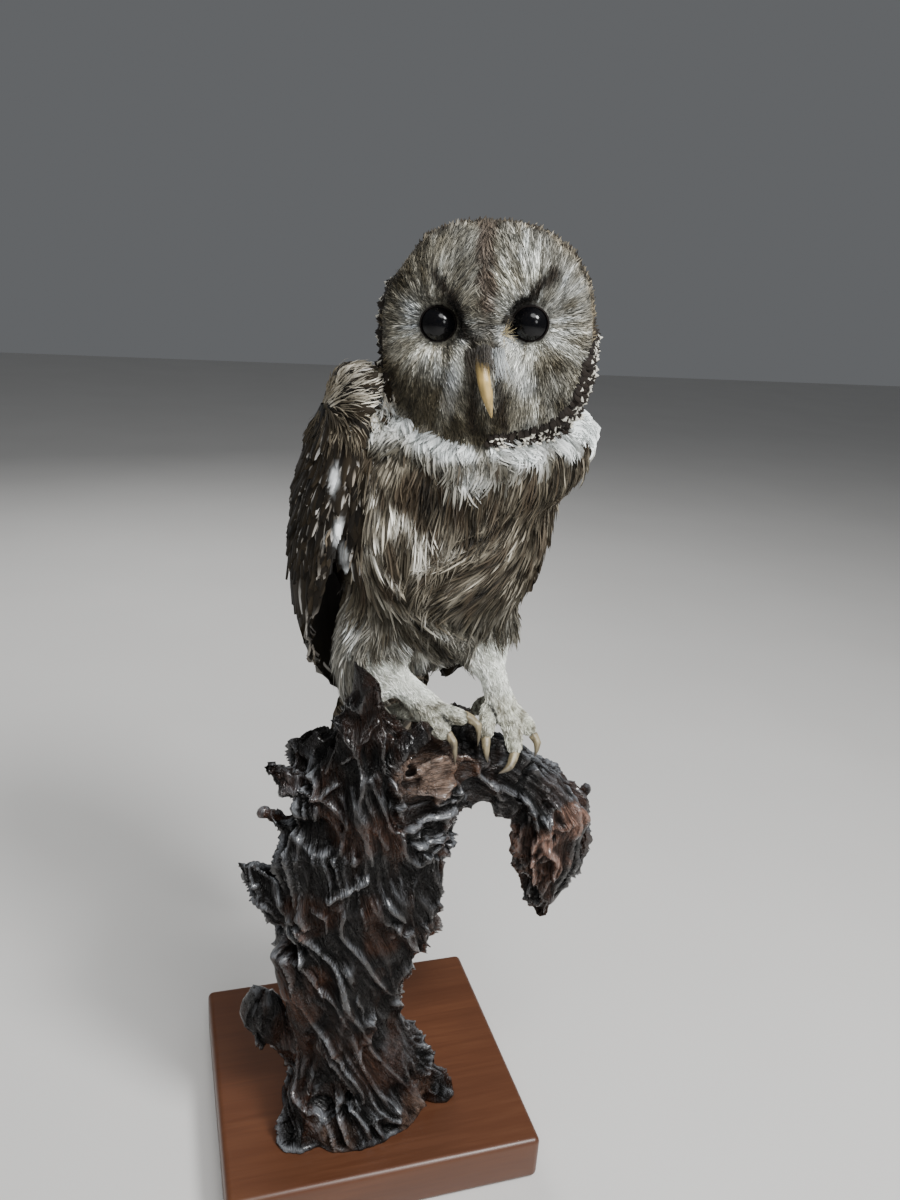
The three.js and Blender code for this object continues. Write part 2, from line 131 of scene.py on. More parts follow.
@dataclass(frozen=True)
class Space:
    """A turned and placed frame, such as the bird's or its head's."""

    origin: Array
    axes: Array

    def local(self, points: Array) -> Array:
        """Returns stand points, in metres, as this frame's millimetres."""
        return (np.asarray(points) - self.origin) @ self.axes / MM

    def world(self, points: Array) -> Array:
        """Returns this frame's millimetres as stand points in metres."""
        return np.asarray(points) * MM @ self.axes.T + self.origin

    def aim(self, directions: Array) -> Array:
        """Turns directions of this frame into the stand's."""
        return np.asarray(directions) @ self.axes.T


BIRD = Space(np.array([0.038, 0.005, 0.0]), turn("Z", 10))
HEAD = Space(BIRD.world([10.5, -32.0, 623.0]), turn("Z", 10 - 32) @ turn("Y", -4))
EYE_PLACE = np.array([27.0, -31.0, 10.4])
EYE_RADIUS = 13.0


# ---- materials
def operator(operation: str, reflected: bool = False) -> Callable[..., Value]:
    """Makes one of Value's operators.

    Args:
        operation: what its Math node does.
        reflected: whether the value itself comes last, as in 1 - mask.

    Returns:
        The operator, as a method.
    """

    def method(self: Value, *others: Value | float) -> Value:
        """Adds the Math node."""
        values = (*others, self) if reflected else (self, *others)
        return self.owner.node("ShaderNodeMath", {"operation": operation}, values)["Value"]

    return method


class Value:
    """A node's output; Python's operators on it add Math nodes."""

    def __init__(self, owner: Nodes, socket: bpy.types.NodeSocket) -> None:
        """Wraps an output socket."""
        self.owner, self.socket = owner, socket

    __add__, __radd__ = operator("ADD"), operator("ADD", True)
    __sub__, __rsub__ = operator("SUBTRACT"), operator("SUBTRACT", True)
    __mul__, __rmul__ = operator("MULTIPLY"), operator("MULTIPLY", True)
    __truediv__, __pow__, __abs__ = operator("DIVIDE"), operator("POWER"), operator("ABSOLUTE")
    sine, fraction = operator("SINE"), operator("FRACT")

    def ramp(self, low: float, high: float) -> Value:
        """Rises smoothly from 0 at low to 1 at high, or falls where high is the smaller."""
        ends = (high, low, 1.0, 0.0) if high < low else (low, high, 0.0, 1.0)
        return self.owner.node("ShaderNodeMapRange", {"interpolation_type": "SMOOTHSTEP"}, (self, *ends))["Result"]


class Nodes:
    """A node tree being written."""

    def __init__(self, tree: bpy.types.NodeTree) -> None:
        """Starts on a tree."""
        self.tree = tree

    def node(self, kind: str, settings: dict | None = None, inputs: Sequence | dict = ()) -> dict[str, Value]:
        """Adds a node.

        Args:
            kind: the node's type.
            settings: its own options, set first.
            inputs: values or links, in socket order or by the socket's name or number.

        Returns:
            Its outputs by name.
        """
        made = self.tree.nodes.new(kind)
        for key, value in (settings or {}).items():
            setattr(made, key, value)
        for key, value in inputs.items() if isinstance(inputs, dict) else enumerate(inputs):
            socket = made.inputs[key]
            if isinstance(value, Value):
                self.tree.links.new(value.socket, socket)
            else:
                opaque = isinstance(value, tuple) and len(value) == 3 and socket.type == "RGBA"
                socket.default_value = (*value, 1.0) if opaque else value
        return {output.name: Value(self, output) for output in made.outputs if output.enabled}


class Recipe(Nodes):
    """A material being written: its node tree and its Principled shader."""

    def __init__(self, name: str, **constants: float) -> None:
        """Starts a material; constants go on the shader's own sockets, with _ for spaces."""
        self.material = bpy.data.materials.new(name)
        self.material.use_nodes = True
        super().__init__(self.material.node_tree)
        self.shader = self.tree.nodes["Principled BSDF"]
        for key, value in constants.items():
            self.shader.inputs[key.replace("_", " ")].default_value = value

    def attribute(self, name: str) -> dict[str, Value]:
        """Reads a mesh attribute."""
        return self.node("ShaderNodeAttribute", {"attribute_name": name})

    def split(self, vector: Value) -> tuple[Value, Value, Value]:
        """Returns a vector's three numbers."""
        parts = self.node("ShaderNodeSeparateXYZ", inputs=[vector])
        return parts["X"], parts["Y"], parts["Z"]

    def mix(self, share: Value | float, first: Value | Colour, second: Value | Colour, how: str = "MIX") -> Value:
        """Mixes two colours."""
        settings = {"data_type": "RGBA", "blend_type": how}
        return self.node("ShaderNodeMix", settings, {0: share, 6: first, 7: second})["Result"]

    def shaded(self, colour: Value | Colour, shade: Value) -> Value:
        """Multiplies a colour by a number."""
        grey = self.node("ShaderNodeCombineColor", inputs=[shade, shade, shade])["Color"]
        return self.mix(1.0, colour, grey, "MULTIPLY")

    def stretched(self, where: Value, *scale: float) -> Value:
        """Scales coordinates along each axis."""
        return self.node("ShaderNodeMapping", inputs={"Vector": where, "Scale": scale})["Vector"]

    def place(self, *scale: float) -> Value:
        """Returns Object coordinates, scaled along each axis where scale is given."""
        return self.stretched(self.node("ShaderNodeTexCoord")["Object"], *(scale or (1.0, 1.0, 1.0)))

    def noise(self, where: Value, scale: float, detail: float = 4.0, rough: float = 0.55, warp: float = 0.0) -> Value:
        """Returns fractal noise from 0 to 1."""
        inputs = {"Vector": where, "Scale": scale, "Detail": detail, "Roughness": rough, "Distortion": warp}
        return self.node("ShaderNodeTexNoise", inputs=inputs)["Fac"]

    def wear(self, **links: Value) -> None:
        """Links varying values to the shader's own sockets, with _ for spaces."""
        for key, value in links.items():
            self.tree.links.new(value.socket, self.shader.inputs[key.replace("_", " ")])

    def bump(self, height: Value, distance: float, strength: float = 1.0) -> None:
        """Gives the shader a bumpy surface."""
        inputs = {"Strength": strength, "Distance": distance, "Height": height}
        self.wear(Normal=self.node("ShaderNodeBump", inputs=inputs)["Normal"])


class Marking(Enum):
    """How a feather's marking lies on its vane."""

    PLAIN = "plain"
    STREAK = "a dark stripe down the middle"
    SPOTS = "pale ovals along both edges"
    BARS = "pale bars across"
    TIP = "a pale tip"


@dataclass(frozen=True)
class Plumage:
    """A feather finish: it reads the coat's own colours and draws the marking along each vane."""

    name: str
    marking: Marking = Marking.PLAIN
    width: float = 0.3
    count: float = 3.0
    roughness: float = 0.72
    barbs: float = 0.25
    vary: float = 0.35
    root: float = 0.5

    def mask(self, along: Value, across: Value, chance: Value) -> Value | float:
        """Works out how much of the marking's colour shows.

        Args:
            along: from 0 at the feather's root to 1 at its tip.
            across: from -1 to 1 over its width.
            chance: its own number from 0 to 1.

        Returns:
            The share, or 0.0 for a plain feather.
        """
        if self.marking is Marking.STREAK:
            return abs(across).ramp(self.width * 1.7, self.width * 0.7) * along.ramp(0.12, 0.3)
        if self.marking is Marking.SPOTS:
            step = (along * self.count + chance).fraction()
            near = ((step - 0.5) * 2.0) ** 2.0 + ((abs(across) - 0.8) / self.width) ** 2.0
            return near.ramp(1.2, 0.5)
        if self.marking is Marking.TIP:
            return along.ramp(1 - self.width, 1 - self.width * 0.6)
        if self.marking is Marking.BARS:
            step = (along * self.count + abs(across) * 0.25 + chance * 0.3).fraction()
            return abs(step - 0.5).ramp(self.width, self.width * 0.6)
        return 0.0

    def material(self) -> bpy.types.Material:
        """Writes the material."""
        sheen = {"Specular_IOR_Level": 0.18, "Sheen_Weight": 0.06, "Sheen_Roughness": 0.5}
        recipe = Recipe(self.name, Roughness=self.roughness, **sheen)
        along, across, chance = recipe.split(recipe.attribute("vane")["Vector"])
        ground, mark = recipe.attribute("ground")["Color"], recipe.attribute("mark")["Color"]
        tint = recipe.attribute("mark")["Alpha"]
        mask = self.mask(along, across, chance)
        colour = ground if isinstance(mask, float) else recipe.mix(mask * tint, ground, mark)
        lines = (across * 42.0 + along * 60.0 + chance * 40.0).sine() * self.barbs
        # Painted shade: each feather darkens towards its root, partly its real greyer base and partly the shade where
        # the feathers overlap.
        depth = along.ramp(0.0, 0.5) * (1 - self.root) + self.root
        shade = depth * (lines * 0.4 + 1.0) * ((chance - 0.5) * (2.0 * self.vary) + 1.0)
        recipe.wear(Base_Color=recipe.shaded(colour, shade))
        return recipe.material


# ---- meshes from arrays
def in_scene(made: bpy.types.Object) -> bpy.types.Object:
    """Links an object to the scene."""
    bpy.context.scene.collection.objects.link(made)
    return made


def rounded(mesh: bpy.types.Mesh) -> bpy.types.Mesh:
    """Shades a mesh smooth."""
    mesh.polygons.foreach_set("use_smooth", np.ones(len(mesh.polygons), bool))
    return mesh


def placed(name: str, mesh: bpy.types.Mesh) -> bpy.types.Object:
    """Makes a smooth-shaded object of a mesh."""
    return in_scene(bpy.data.objects.new(name, rounded(mesh)))


def mesh_object(name: str, points: Array, quads: Array, triangles: Array = NO_TRIANGLES) -> bpy.types.Object:
    """Makes a smooth-shaded mesh object.

    Args:
        name: the object's name.
        points: (n, 3) places in metres.
        quads: (q, 4) vertex numbers.
        triangles: (t, 3) vertex numbers.

    Returns:
        The object, linked to the scene.
    """
    mesh = bpy.data.meshes.new(name)
    mesh.vertices.add(len(points))
    mesh.vertices.foreach_set("co", np.asarray(points, np.float32).ravel())
    loops = np.concatenate([np.asarray(quads, np.int32).ravel(), np.asarray(triangles, np.int32).ravel()])
    mesh.loops.add(len(loops))
    mesh.loops.foreach_set("vertex_index", loops)
    counts = np.repeat(np.array([4, 3], np.int32), [len(quads), len(triangles)])
    mesh.polygons.add(len(counts))
    mesh.polygons.foreach_set("loop_start", np.concatenate([[0], np.cumsum(counts)[:-1]]).astype(np.int32))
    mesh.update(calc_edges=True)
    return placed(name, mesh)


def give(made: bpy.types.Object, name: str, values: Array) -> None:
    """Stores a number, a vector or a colour for each vertex."""
    kinds = {1: ("FLOAT", "value"), 3: ("FLOAT_VECTOR", "vector"), 4: ("FLOAT_COLOR", "color")}
    kind, key = kinds[values.size // len(values)]
    layer = made.data.attributes.new(name, kind, "POINT")
    layer.data.foreach_set(key, values.astype(np.float32).ravel())


def corners_of(mesh: bpy.types.Mesh) -> Array:
    """Returns the vertex of each face corner."""
    loops = np.zeros(len(mesh.loops), int)
    mesh.loops.foreach_get("vertex_index", loops)
    return loops


def points_of(mesh: bpy.types.Mesh) -> Array:
    """Returns a mesh's points, in metres."""
    points = np.zeros(len(mesh.vertices) * 3)
    mesh.vertices.foreach_get("co", points)
    return points.reshape(-1, 3)


def mapped(made: bpy.types.Object, chart: Array) -> None:
    """Stores each vertex's place on the coat's bake map."""
    layer = made.data.uv_layers.new(name="OFBake")
    layer.data.foreach_set("uv", chart[corners_of(made.data)].astype(np.float32).ravel())


def finished(made: bpy.types.Object, material: bpy.types.Material, slot: str, *nodes: str) -> None:
    """Dresses a piece, parents it to the root's body and hides the CAD nodes that it stands for.

    Args:
        made: the piece.
        material: its finish.
        slot: not used.
        nodes: the CAD nodes that it stands for.
    """
    made.data.materials.clear()
    made.data.materials.append(material)
    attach(made, "root")
    if nodes:
        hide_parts(*nodes)
    made.data.calc_loop_triangles()
    LOG.info("%s: %d triangles", made.name, len(made.data.loop_triangles))


def baked(made: bpy.types.Object) -> bpy.types.Object:
    """Replaces an object's mesh by what its modifiers make of it."""
    graph = bpy.context.evaluated_depsgraph_get()
    mesh = bpy.data.meshes.new_from_object(made.evaluated_get(graph))
    made.modifiers.clear()
    made.data = mesh
    return made


def welded(node: str, swell: float = 0.0) -> Shell:
    """Reads a CAD node as one closed shell.

    Args:
        node: the node's name.
        swell: how far its points move out, in metres.

    Returns:
        The merged points and the triangles.
    """
    form = bmesh.new()
    form.from_mesh(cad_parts[node].data)
    bmesh.ops.remove_doubles(form, verts=form.verts, dist=2e-6)
    bmesh.ops.triangulate(form, faces=form.faces)
    form.normal_update()
    points = np.array([vert.co + vert.normal * swell for vert in form.verts])
    faces = np.array([[vert.index for vert in face.verts] for face in form.faces])
    form.free()
    return points, faces


def joined(shells: Sequence[Shell]) -> Shell:
    """Returns several shells' points and faces as one mesh."""
    offsets = np.cumsum([0, *(len(points) for points, _ in shells[:-1])])
    faces = [faces + offset for (_, faces), offset in zip(shells, offsets)]
    return np.concatenate([points for points, _ in shells]), np.concatenate(faces)


def remeshed(name: str, shells: Sequence[Shell], voxel: float) -> Shell:
    """Fuses closed shells into one even quad mesh.

    Args:
        name: what the form is called meanwhile.
        shells: the points and triangles of each.
        voxel: the side of its cells, in metres.

    Returns:
        The points and the quads.
    """
    points, faces = joined(shells)
    made = mesh_object(name, points, NO_QUADS, faces)
    fuse = made.modifiers.new("fuse", "REMESH")
    fuse.mode, fuse.voxel_size, fuse.adaptivity = "VOXEL", voxel, 0.0
    mesh = baked(made).data
    bpy.data.objects.remove(made)
    return points_of(mesh), corners_of(mesh).reshape(-1, 4)


@dataclass
class Surface:
    """An even quad mesh in arrays, with what it takes to smooth it and to find places on it."""

    points: Array
    faces: Array

    def __post_init__(self) -> None:
        """Lists the edges."""
        pairs = np.concatenate([self.faces[:, [k, (k + 1) % 4]] for k in range(4)])
        self.edges = np.unique(np.sort(pairs, axis=1), axis=0)
        ends = self.edges.ravel()
        self.degree = np.maximum(np.bincount(ends, minlength=len(self.points)), 1)

    def spread(self, values: Array, rounds: int, share: Array | float = 0.5) -> Array:
        """Evens out a value over the mesh.

        Args:
            values: one row for each point.
            rounds: how many times each point moves towards its neighbours.
            share: how far it moves each time.

        Returns:
            The rows, evened out.
        """
        first, second = self.edges.T
        both, other = np.concatenate([first, second]), np.concatenate([second, first])
        values = values.reshape(len(self.points), -1)
        share = np.broadcast_to(np.asarray(share, float), len(values))[:, None]
        for _ in range(rounds):
            total = np.stack([np.bincount(both, column[other], len(values)) for column in values.T], 1)
            values = values + (total / self.degree[:, None] - values) * share
        return values

    def normals(self) -> Array:
        """Returns each vertex's outward direction."""
        corners = self.points[self.faces]
        across = np.cross(corners[:, 2] - corners[:, 0], corners[:, 3] - corners[:, 1])
        count = len(self.points)
        return unit(np.stack([np.bincount(self.faces.ravel(), np.repeat(axis, 4), count) for axis in across.T], 1))


class Part(Enum):
    """The feathered CAD nodes, in the order that numbers the skin's parts."""

    HEAD = "head"
    NECK = "neck"
    TRUNK = "trunk"
    WING_RIGHT = "wing_right"
    WING_LEFT = "wing_left"
    TAIL = "tail"
    THIGH_RIGHT = "thigh_right"
    THIGH_LEFT = "thigh_left"
    TARSUS_RIGHT = "tarsus_right"
    TARSUS_LEFT = "tarsus_left"
    FOOT_RIGHT = "foot_right"
    FOOT_LEFT = "foot_left"

    @property
    def number(self) -> int:
        """Its place in the list."""
        return list(Part).index(self)


WINGS = (Part.WING_RIGHT, Part.WING_LEFT)
THIGHS = (Part.THIGH_RIGHT, Part.THIGH_LEFT)
FEET = (Part.FOOT_RIGHT, Part.FOOT_LEFT)
LEGS = (Part.TARSUS_RIGHT, Part.TARSUS_LEFT, *FEET)


@dataclass
class Contact:
    """Places on the skin, with the direction out of it, the lie of the coat and the part of the bird."""

    points: Array
    normals: Array
    lie: Array
    part: Array
    chart: Array

    @property
    def bird(self) -> Array:
        """The places in the bird's frame."""
        return BIRD.local(self.points)

    @property
    def head(self) -> Array:
        """The places in the head's frame."""
        return HEAD.local(self.points)

    def chosen(self, keep: Array) -> Contact:
        """Returns some of the places."""
        return Contact(*(values[keep] for values in vars(self).values()))


Test = Callable[[Contact], Array]
Painter = Callable[[Array, Array], Colours]


@dataclass(frozen=True)
class Sweep:
    """A wave in the coat of the breast: its path over the body, how wide it is and how much paler it is; where it is
    darker, it is painted shade in a crease between locks.
    """

    path: tuple[tuple[float, float, float], ...]
    width: float
    gain: float

    def share(self, at: Array, reach: float) -> Array:
        """Returns how near places are, from 1 on the path to 0 well away."""
        path = np.array(self.path, float)
        out = unit(path.mean(0) * (1, 1, 0) + (5, 0, 0))
        flat = np.eye(3) - 0.75 * np.outer(out, out)
        return np.exp(-((away(path @ flat, at @ flat) / reach) ** 2))


SWEEPS: tuple[Sweep, ...] = (
    Sweep(((-58, -54, 516), (-60, -54, 505)), 4.5, 0.55),
    Sweep(((-37, -53, 446), (-18, -51, 429)), 7.0, 0.32),
    Sweep(((-67, -40, 528), (-66, -45, 515)), 4.2, 0.5),
    Sweep(((-51, -61, 511), (-46, -66, 502), (-43, -65, 486)), 5.4, 0.7),
    Sweep(((-38, -70, 503), (-32, -72, 498)), 4.0, 0.3),
    Sweep(((-20, -77, 499), (-32, -71, 490)), 2.6, 0.25),
    Sweep(((-68, -37, 490), (-63, -45, 479), (-53, -52, 469)), 3.0, 0.4),
    Sweep(((-65, -44, 497), (-64, -46, 490)), 2.2, 0.5),
    Sweep(((14, -78, 506), (-4, -78, 496), (-20, -75, 490)), 4.0, 0.15),
    Sweep(((22, -75, 500), (2, -76, 482), (-14, -72, 470)), 4.5, 0.18),
    # The rest are dark: painted shade in the creases between the locks.
    Sweep(((10, -78, 515), (-5, -79, 506), (-22, -77, 502)), 2.4, -0.5),
    Sweep(((10, -78, 493), (-9, -76, 484), (-27, -72, 480)), 2.4, -0.42),
    Sweep(((20, -74, 485), (4, -73, 471), (-9, -71, 463), (-18, -66, 456)), 2.6, -0.5),
    Sweep(((-65, -40, 477), (-57, -44, 463), (-48, -52, 459)), 3.0, -0.7),
    Sweep(((-37, -51, 443), (-23, -50, 429), (5, -27, 402)), 3.0, -0.65),
    Sweep(((-64, -45, 529), (-62, -51, 514), (-61, -52, 502)), 2.5, -0.5),
    Sweep(((-54, -60, 508), (-53, -60, 496), (-52, -56, 475)), 2.2, -0.45),
)


@dataclass
class Skin:
    """One skin over all the flesh, inside the feathered solids by the coat's depth."""

    voxel: float = 2.2
    swell: float = 0.5
    rounds: int = 7
    face_depth: float = 1.3
    lid_ball: float = 13.3
    lid_gap: float = 11.9
    depth: tuple[tuple[float, str], ...] = (
        (2.6, "HEAD WING_RIGHT WING_LEFT"),
        (7.0, "NECK"),
        (6.0, "TRUNK THIGH_RIGHT THIGH_LEFT"),
        (2.4, "TAIL TARSUS_RIGHT TARSUS_LEFT"),
        (1.1, "FOOT_RIGHT FOOT_LEFT"),
    )
    currents: tuple = (
        ((33, -82, 525), 30, (-0.55, 0.1, -0.85)),
        ((13, -78, 500), 26, (-0.75, 0.1, -0.7)),
        ((-10, -74, 477), 22, (-0.7, 0.1, -0.75)),
        ((45, -60, 480), 24, (-0.3, 0.0, -1.0)),
        ((-52, -44, 450), 20, (0.45, 0.15, -0.9)),
        ((-30, -49, 433), 20, (0.7, 0.2, -0.7)),
        ((-8, -36, 410), 18, (0.6, 0.1, -0.8)),
        ((-66, -44, 500), 18, (0.2, -0.1, -1.0)),
    )
    flows: tuple = (
        (Part.TAIL, (-0.02, 0.32, -0.95)),
        (Part.THIGH_RIGHT, (0.0, -0.02, -1.0)),
        (Part.THIGH_LEFT, (-0.05, -0.15, -1.0)),
        (Part.TARSUS_RIGHT, (0.62, -0.5, -0.7)),
        (Part.TARSUS_LEFT, (0.15, -0.4, -0.9)),
    )
    collar_hem: tuple = ((-75, -41, -22, -7, 4, 16, 22, 38, 55, 80), (576, 574, 569, 559, 554, 547, 559, 565, 566, 568))
    wing_edge: tuple = ((350, 398, 427, 475, 505, 527, 543, 560, 580), (135, 115, 112, 70, 65, 62, 62, 66, 68))

    def build(self) -> None:
        """Fuses the solids, evens them out and sinks them by the coat's depth."""
        names = [part.value for part in Part] + ["eye_right", "eye_left", "bill_upper"]
        shells = [welded(name, self.swell * MM) for name in names]
        surface = Surface(*remeshed("skin_form", shells, self.voxel * MM))
        feathered = shells[: len(Part)]
        points, faces = joined(feathered)
        tree = BVHTree.FromPolygons(points.tolist(), faces.tolist())
        owner = np.repeat(np.arange(len(Part)), [len(faces) for _, faces in feathered])
        self.part = owner[np.array([tree.find_nearest(point)[2] for point in surface.points.tolist()])]
        self.part = self.relabelled(surface.points)
        small = self.mine(*LEGS)
        surface.points = surface.spread(surface.points, self.rounds, np.where(small, 0.12, 0.5))
        depth = np.zeros(len(surface.points))
        for deep, names in self.depth:
            depth[self.mine(*(Part[name] for name in names.split()))] = deep
        x, y, z = HEAD.local(surface.points).T
        head = self.mine(Part.HEAD)
        depth[head & (y < -15)] = self.face_depth
        depth += 3.6 * np.exp(-(((x + 52) / 17) ** 2) - ((z - 50) / 17) ** 2) * head
        depth = surface.spread(depth, 12)[:, 0]
        surface.points = self.sockets(surface.points - surface.normals() * depth[:, None] * MM)
        self.surface = surface
        self.normal = surface.normals()
        self.lie = self.comb()
        self.triangles = np.concatenate([surface.faces[:, [0, 1, 2]], surface.faces[:, [0, 2, 3]]])
        self.tree = BVHTree.FromPolygons(surface.points.tolist(), self.triangles.tolist())
        self.chart = self.unwrap()

    def mine(self, *parts: Part) -> Array:
        """Returns which vertices lie on these parts."""
        return np.isin(self.part, [part.number for part in parts])

    def relabelled(self, points: Array) -> Array:
        """Moves the edges between collar, breast and right wing to where the plumage changes.

        Args:
            points: the vertices, in metres.

        Returns:
            The number of each one's part.
        """
        at = BIRD.local(points)
        angle = np.degrees(np.arctan2(-at[:, 0], 5 - at[:, 1]))
        height = at[:, 2]
        part = self.part.copy()
        soft = self.mine(Part.NECK, Part.TRUNK)
        hem = np.interp(angle, *self.collar_hem)
        part[self.mine(Part.THIGH_RIGHT) & (height < 417)] = Part.TARSUS_RIGHT.number
        part[self.mine(Part.THIGH_LEFT) & (height < 430)] = Part.TARSUS_LEFT.number
        front = soft & (np.abs(angle) < 80)
        part[front & (height > hem)] = Part.NECK.number
        part[front & (height <= hem)] = Part.TRUNK.number
        edge = np.interp(height, *self.wing_edge)
        part[soft & (angle > edge) & (angle < 150) & (height < 572) & (height > 430)] = Part.WING_RIGHT.number
        return part

    def sockets(self, points: Array) -> Array:
        """Sinks the skin round the eyes to the edge of the lids.

        Args:
            points: the vertices, in metres.

        Returns:
            The same, moved.
        """
        at = HEAD.local(points)
        gap = eye_gap(points)
        ball = np.sqrt(np.maximum(self.lid_ball**2 - np.minimum(gap, self.lid_gap) ** 2, 1.0))
        seat = EYE_PLACE[1] - ball * np.where(gap < 10.0, 0.86, 1.0)
        share = smooth(16.5, self.lid_gap, gap) * smooth(-18, -26, at[:, 1])
        at[:, 1] += (np.maximum(at[:, 1], seat) - at[:, 1]) * share
        return HEAD.world(at)

    @staticmethod
    def lid(side: int, first: int) -> Shell:
        """Makes one eye's bare rim.

        Args:
            side: -1 for the bird's right eye and 1 for its left.
            first: the number of its first point.

        Returns:
            Its points and its quads.
        """
        around = np.linspace(0, 2 * math.pi, 65)[:-1]
        bead = np.linspace(0, 2 * math.pi, 9)[:-1]
        gap = 10.35 + 0.5 * np.cos(bead)
        out = 0.15 + 0.5 * np.sin(bead)
        deep = np.sqrt(13.05**2 - np.minimum(gap, 12.9) ** 2)
        wide = gap[None, :] * (1 + 0.03 * np.cos(2 * around))[:, None]
        ring = rows(wide * np.cos(around)[:, None], -(deep + out), wide * np.sin(around)[:, None])
        number = first + np.arange(512).reshape(64, 8)
        ahead, up = np.roll(number, -1, 0), np.roll(number, -1, 1)
        faces = rows(number, ahead, np.roll(ahead, -1, 1), up).reshape(-1, 4)
        return HEAD.world(ring.reshape(-1, 3) + EYE_PLACE * (side, 1, 1)), faces

    def comb(self) -> Array:
        """Returns the lie of the coat at each vertex."""
        at = BIRD.local(self.surface.points)
        way = np.tile([0.0, 0.12, -1.0], (len(at), 1))
        way[:, 1] += 0.25 * smooth(-20, 60, at[:, 1]) + 0.5 * smooth(430, 390, at[:, 2])
        for place, reach, current in self.currents:
            share = np.exp(-np.sum(((at - place) / reach) ** 2, 1))
            way = blend(way, np.array(current), 0.9 * share)
        for sweep in SWEEPS:
            for start, end in zip(sweep.path, sweep.path[1:]):
                share = np.exp(-((away((start, end), at) / (sweep.width + 6)) ** 2))
                way = blend(way, unit(np.subtract(end, start).astype(float)), 0.9 * share)
        waves = drift([Noise(70 + k) for k in range(3)], at, 24)
        way += waves * np.array((0.3, 0.15, 0.1))
        collar = self.mine(Part.NECK)
        way[collar, 0] += 0.6 * np.clip((at[collar, 0] + 6) / 55, -1, 1)
        for part, side in zip(WINGS, (-1, 1)):
            mine = self.mine(part)
            around = unit(rows(at[:, 1] - 5, -at[:, 0], 0.0)) * -side
            slope = 0.12 + 0.3 * smooth(480, 380, at[:, 2])
            way[mine] = (around * slope[:, None] + [0, 0, -1])[mine]
            high = smooth(562, 582, at[:, 2])[mine]
            way[mine] = blend(way[mine], np.array((-side * 0.95, -0.4, 0.1)), high)
        for part, flow in self.flows:
            way[self.mine(part)] = flow
        fanned = self.mine(Part.THIGH_RIGHT)
        way[fanned, 0] = 0.25 - 0.78 * smooth(-32, -66, at[fanned, 0])
        thigh = self.mine(*THIGHS)
        way[thigh] += waves[thigh] * 0.3
        for part, middle in zip(FEET, ((-14, -36, 380), (36, -42, 384))):
            mine = self.mine(part)
            way[mine] = (at - middle)[mine]
        way = BIRD.aim(unit(way))
        head = self.mine(Part.HEAD)
        way[head] = self.face_lie(self.surface.points[head])
        way = way - self.normal * np.sum(way * self.normal, 1, keepdims=True)
        way = self.surface.spread(unit(way), 6)
        return unit(way - self.normal * np.sum(way * self.normal, 1, keepdims=True))

    @staticmethod
    def face_lie(points: Array) -> Array:
        """Returns the lie on the head: outwards from the eyes, then back over the crown and down the nape.

        Args:
            points: places on the head, in metres.

        Returns:
            The directions, in the stand's frame.
        """
        at = HEAD.local(points)
        total = np.zeros_like(at)
        for side in (-1, 1):
            eye = EYE_PLACE * (side, 1, 1)
            ray = at - eye
            ray[:, 1] *= 0.6
            total += unit(ray) * smooth(-9 * side, 9 * side, at[:, 0])[:, None]
        near = smooth(15, 5, np.abs(at[:, 0])) * smooth(6, -6, at[:, 2])
        down = unit(rows(0.3 * np.sign(at[:, 0]), -0.35, -1.0))
        total = blend(unit(total), down, 0.85 * near)
        back = unit(unit(at - (0, -52, -12)) + rows(0.0, 0.0, -0.9 * smooth(5, 55, at[:, 1])))
        return HEAD.aim(blend(unit(total), back, smooth(-34, -12, at[:, 1])))

    def unwrap(self) -> Array:
        """Returns a place for each vertex on a flat map: each part unrolled round its own upright axis."""
        chart = np.zeros((len(self.surface.points), 2))
        at = BIRD.local(self.surface.points)
        columns = 4
        for part in Part:
            mine = self.mine(part)
            own = at[mine] - at[mine].mean(0)
            angle = np.arctan2(own[:, 0], -own[:, 1]) / (2 * np.pi) + 0.5
            height = (own[:, 2] - own[:, 2].min()) / np.ptp(own[:, 2])
            column, row = part.number % columns, part.number // columns
            chart[mine] = rows((column + 0.03 + 0.94 * angle) / columns, (row + 0.03 + 0.94 * height) / 3)
        return chart

    def touch(self, points: Array) -> Contact:
        """Finds the nearest places on the skin.

        Args:
            points: places near it, in metres.

        Returns:
            What is nearest to each.
        """
        hits = [self.tree.find_nearest(point) for point in points.tolist()]
        at = np.array([hit[0] for hit in hits])
        corner = self.triangles[np.array([hit[2] for hit in hits])]
        a, b, c = (self.surface.points[corner[:, k]] for k in range(3))
        first, second, own = b - a, c - a, at - a
        d00, d01, d11 = (np.sum(p * q, 1) for p, q in ((first, first), (first, second), (second, second)))
        d20, d21 = np.sum(own * first, 1), np.sum(own * second, 1)
        scale = np.maximum(d00 * d11 - d01 * d01, 1e-20)
        v, w = (d11 * d20 - d01 * d21) / scale, (d00 * d21 - d01 * d20) / scale
        share = np.clip(rows(1 - v - w, v, w), 0, 1)[:, :, None]
        return Contact(at, *self.between(corner, share), self.part[corner[:, 0]], self.chart[corner[:, 0]])

    def between(self, corners: Array, share: Array) -> Iterator[Array]:
        """Returns the direction out of the skin and the coat's lie between its vertices."""
        return (unit(np.sum(values[corners] * share, 1)) for values in (self.normal, self.lie))

